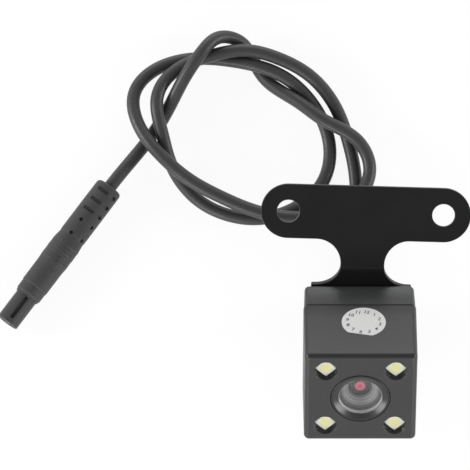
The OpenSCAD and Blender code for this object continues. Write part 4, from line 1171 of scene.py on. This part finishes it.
# ---------------------------------------------------------------- bracket
# The bracket is cut and pressed from 1 mm steel sheet: a flange that turns on the stem, a
# neck between two round notches, bent back thirty degrees, and a wing with two holes.
sheet_t = 1.0
sheet_edge = 0.16
flange_mid = -0.6
bend_y, bend_r = 16.807, 1.0
bend_angle = math.radians(30)
bend_run = bend_angle * (bend_r + sheet_t / 2)
notch_x, notch_r, shoulder_y = 10.76, 5.7, 12.3
wing_low = shoulder_y + 2 * notch_r
wing_w, wing_shift, hole_pitch, mount_hole_r = 12.65, 0.4, 35.85, 2.6
flange_half, flange_low, flange_corner, shoulder_corner = 11.6, 7.0, 3.0, 0.4
pivot_hole_r, bend_cuts = 4.05, 10
bracket_place = camera_place @ Matrix.Rotation(math.radians(-2.1), 4, "Z")


def arc(x, y, r, start, end, steps):
    """Points round an arc, from one angle in degrees to another."""
    return [(x + r * math.cos(math.radians(a)), y + r * math.sin(math.radians(a)))
        for a in (start + (end - start) * k / steps for k in range(steps + 1))]


wing_mid = wing_low + wing_w / 2
right_side = (arc(flange_half - flange_corner, flange_corner - flange_low, flange_corner, -90, 0, 12)
    + arc(flange_half - shoulder_corner, shoulder_y - shoulder_corner, shoulder_corner, 0, 90, 5)
    + arc(notch_x, shoulder_y + notch_r, notch_r, 270, 90, 48))
wing_end = arc(hole_pitch / 2, wing_mid, wing_w / 2, -90, 90, 48)
sheet_outline = (right_side + [(x + wing_shift, y) for x, y in wing_end]
    + [(wing_shift - x, y) for x, y in wing_end[::-1]] + [(-x, y) for x, y in right_side[::-1]])
blank = bpy.data.curves.new("bracket_blank", "CURVE")
blank.dimensions, blank.fill_mode = "2D", "BOTH"
blank.extrude, blank.bevel_depth, blank.bevel_resolution = sheet_t / 2 - sheet_edge, sheet_edge, 3
blank.offset = -sheet_edge
for loop in (sheet_outline, arc(0, 0, pivot_hole_r, 0, 352.5, 47),
        arc(wing_shift - hole_pitch / 2, wing_mid, mount_hole_r, 0, 352.5, 47),
        arc(wing_shift + hole_pitch / 2, wing_mid, mount_hole_r, 0, 352.5, 47)):
    line = blank.splines.new("POLY")
    line.points.add(len(loop) - 1)
    for point, (x, y) in zip(line.points, loop):
        point.co = (x, y, 0, 1)
    line.use_cyclic_u = True
blank_piece = linked("bracket_blank", blank)
sheet_mesh = worked_out(blank_piece)
bpy.data.objects.remove(blank_piece)
sheet_shape = bmesh.new()
sheet_shape.from_mesh(sheet_mesh)
bmesh.ops.remove_doubles(sheet_shape, verts=sheet_shape.verts, dist=1e-4)
for k in range(bend_cuts + 1):
    bmesh.ops.bisect_plane(sheet_shape, geom=sheet_shape.verts[:] + sheet_shape.edges[:]
        + sheet_shape.faces[:], dist=1e-5, plane_co=(0, bend_y + bend_run * k / bend_cuts, 0),
        plane_no=(0, 1, 0))
bmesh.ops.recalc_face_normals(sheet_shape, faces=sheet_shape.faces)
cut_edge = sheet_shape.verts.layers.float.new("cut_edge")
for vertex in sheet_shape.verts:
    x, along, off = vertex.co
    vertex[cut_edge] = 0.0 if abs(off) > sheet_t / 2 - 1e-3 else 1.0
    turn = min(max(along - bend_y, 0), bend_run) / (bend_r + sheet_t / 2)
    rest = max(along - bend_y - bend_run, 0)
    reach = bend_r + sheet_t / 2 + off
    if along <= bend_y:
        vertex.co = (x, along, flange_mid + off)
    else:
        vertex.co = (x, bend_y + reach * math.sin(turn) + rest * math.cos(turn),
            flange_mid - bend_r - sheet_t / 2 + reach * math.cos(turn) - rest * math.sin(turn))
bracket_sheet = piece_of("bracket_sheet", sheet_shape)

# Steel sheet, powder coated: satin black with a faint orange peel. A painted highlight
# brightens the cut edges, broken into patches like rubbed coating.
steel_coated, tree, object_at = new_pattern("steel_powder_coated")
edge_share = add(tree, "Attribute", attribute_name="cut_edge")
orange_peel = add(tree, "TexNoise", {"Vector": object_at, "Scale": 1000 / 0.7, "Detail": 2.0})
dulling = add(tree, "TexNoise", {"Vector": object_at, "Scale": 1000 / 9, "Detail": 4.0})
edge_highlight_breakup = add(tree, "TexNoise", {"Vector": object_at, "Scale": 1000 / 1.8, "Detail": 3.0})
# Painted highlight along the cut edges, in patches.
painted_edge_highlight = add(tree, "Math", {0: edge_share.outputs["Fac"], 1: edge_highlight_breakup}, operation="MULTIPLY")
coat_tint = add(tree, "Mix", {0: dulling, 6: "#1c1c1d", 7: "#232324"}, data_type="RGBA")
edge_highlight_tint = add(tree, "Mix", {0: painted_edge_highlight, 6: coat_tint.outputs[2], 7: "#66676a"}, data_type="RGBA")
coat_shine = add(tree, "MapRange", {"Value": dulling, "To Min": 0.34, "To Max": 0.46})
coat_bump = add(tree, "Bump", {"Strength": 0.25, "Distance": 0.00004, "Height": orange_peel})
surface = add(tree, "BsdfPrincipled", {"Base Color": edge_highlight_tint.outputs[2], "Roughness": coat_shine,
    "Normal": coat_bump, "IOR": 1.5, "Specular IOR Level": 0.16})
add(tree, "OutputMaterial", {"Surface": surface})
settle(bracket_sheet, steel_coated, 40, bracket_place)
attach(bracket_sheet, "bracket")
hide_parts("mount_bracket")


# ---------------------------------------------------------------- table and light
# A plain white table in a soft bright room, with one lamp behind, one at each side and
# two in front. The ceiling over the viewer is darker, so that edges which face straight
# up read dark against the faces beside them.
def looked_at(tree):
    """One where the ray comes from the viewer, from a mirroring surface or through glass."""
    ray = add(tree, "LightPath").outputs
    seen = add(tree, "Math", {0: ray["Is Camera Ray"], 1: ray["Is Glossy Ray"]}, operation="MAXIMUM")
    return add(tree, "Math", {0: seen, 1: ray["Is Transmission Ray"]}, operation="MAXIMUM")


table_white, tree = new_finish("table_paper_white")
table_share = add(tree, "Math", {0: looked_at(tree), 1: 0.86}, operation="MULTIPLY")
table_matt = add(tree, "BsdfDiffuse", {"Color": "#f2f2f2"})
table_glow = add(tree, "Emission", {"Color": (1, 1, 1, 1), "Strength": 1.06})
surface = add(tree, "MixShader", {0: table_share, 1: table_matt, 2: table_glow})
add(tree, "OutputMaterial", {"Surface": surface})
table_reach = 3
table_top = drawn_piece("table_top", [(x * table_reach, y * table_reach, 0)
    for x, y in ((-1, -1), (1, -1), (1, 1), (-1, 1))], [(0, 1, 2, 3)])
table_top.data.materials.append(table_white)

world = bpy.data.worlds.new("soft_room")
bpy.context.scene.world = world
world.use_nodes = True
tree = world.node_tree
tree.nodes.clear()
direction = add(tree, "TexCoord").outputs["Generated"]
direction_xyz = add(tree, "SeparateXYZ", {0: direction})
ceiling = add(tree, "MapRange", {"Value": direction_xyz.outputs["Z"], "From Min": 0.55, "From Max": 0.90,
    "To Min": 1.0, "To Max": 0.3}, interpolation_type="SMOOTHSTEP")
room_level = add(tree, "MapRange", {"Value": looked_at(tree), "To Min": 0.55, "To Max": 1.0})
room_strength = add(tree, "Math", {0: ceiling, 1: room_level}, operation="MULTIPLY")
room = add(tree, "Background", {"Color": (1, 1, 1, 1), "Strength": room_strength})
add(tree, "OutputWorld", {"Surface": room})

lit_spot = Vector((-0.02, 0.02, 0.01))
for name, spot, wide, high, watts in (("lamp_back", (-0.05, 0.62, 0.13), 0.6, 0.14, 0.95),
        ("lamp_left", (-0.62, 0.05, 0.22), 0.16, 0.16, 1.8),
        ("lamp_right", (0.62, 0.05, 0.22), 0.16, 0.16, 1.3),
        ("lamp_front_left", (-0.36, -0.55, 0.2), 0.3, 0.25, 1.6),
        ("lamp_front_right", (0.36, -0.55, 0.2), 0.3, 0.25, 1.5)):
    lamp_data = bpy.data.lights.new(name, "AREA")
    lamp_data.shape, lamp_data.size, lamp_data.size_y, lamp_data.energy = "RECTANGLE", wide, high, watts
    lamp = linked(name, lamp_data)
    lamp.location = spot
    lamp.rotation_euler = (lit_spot - Vector(spot)).to_track_quat("-Z", "Y").to_euler()

bpy.context.scene.view_settings.view_transform = "Standard"
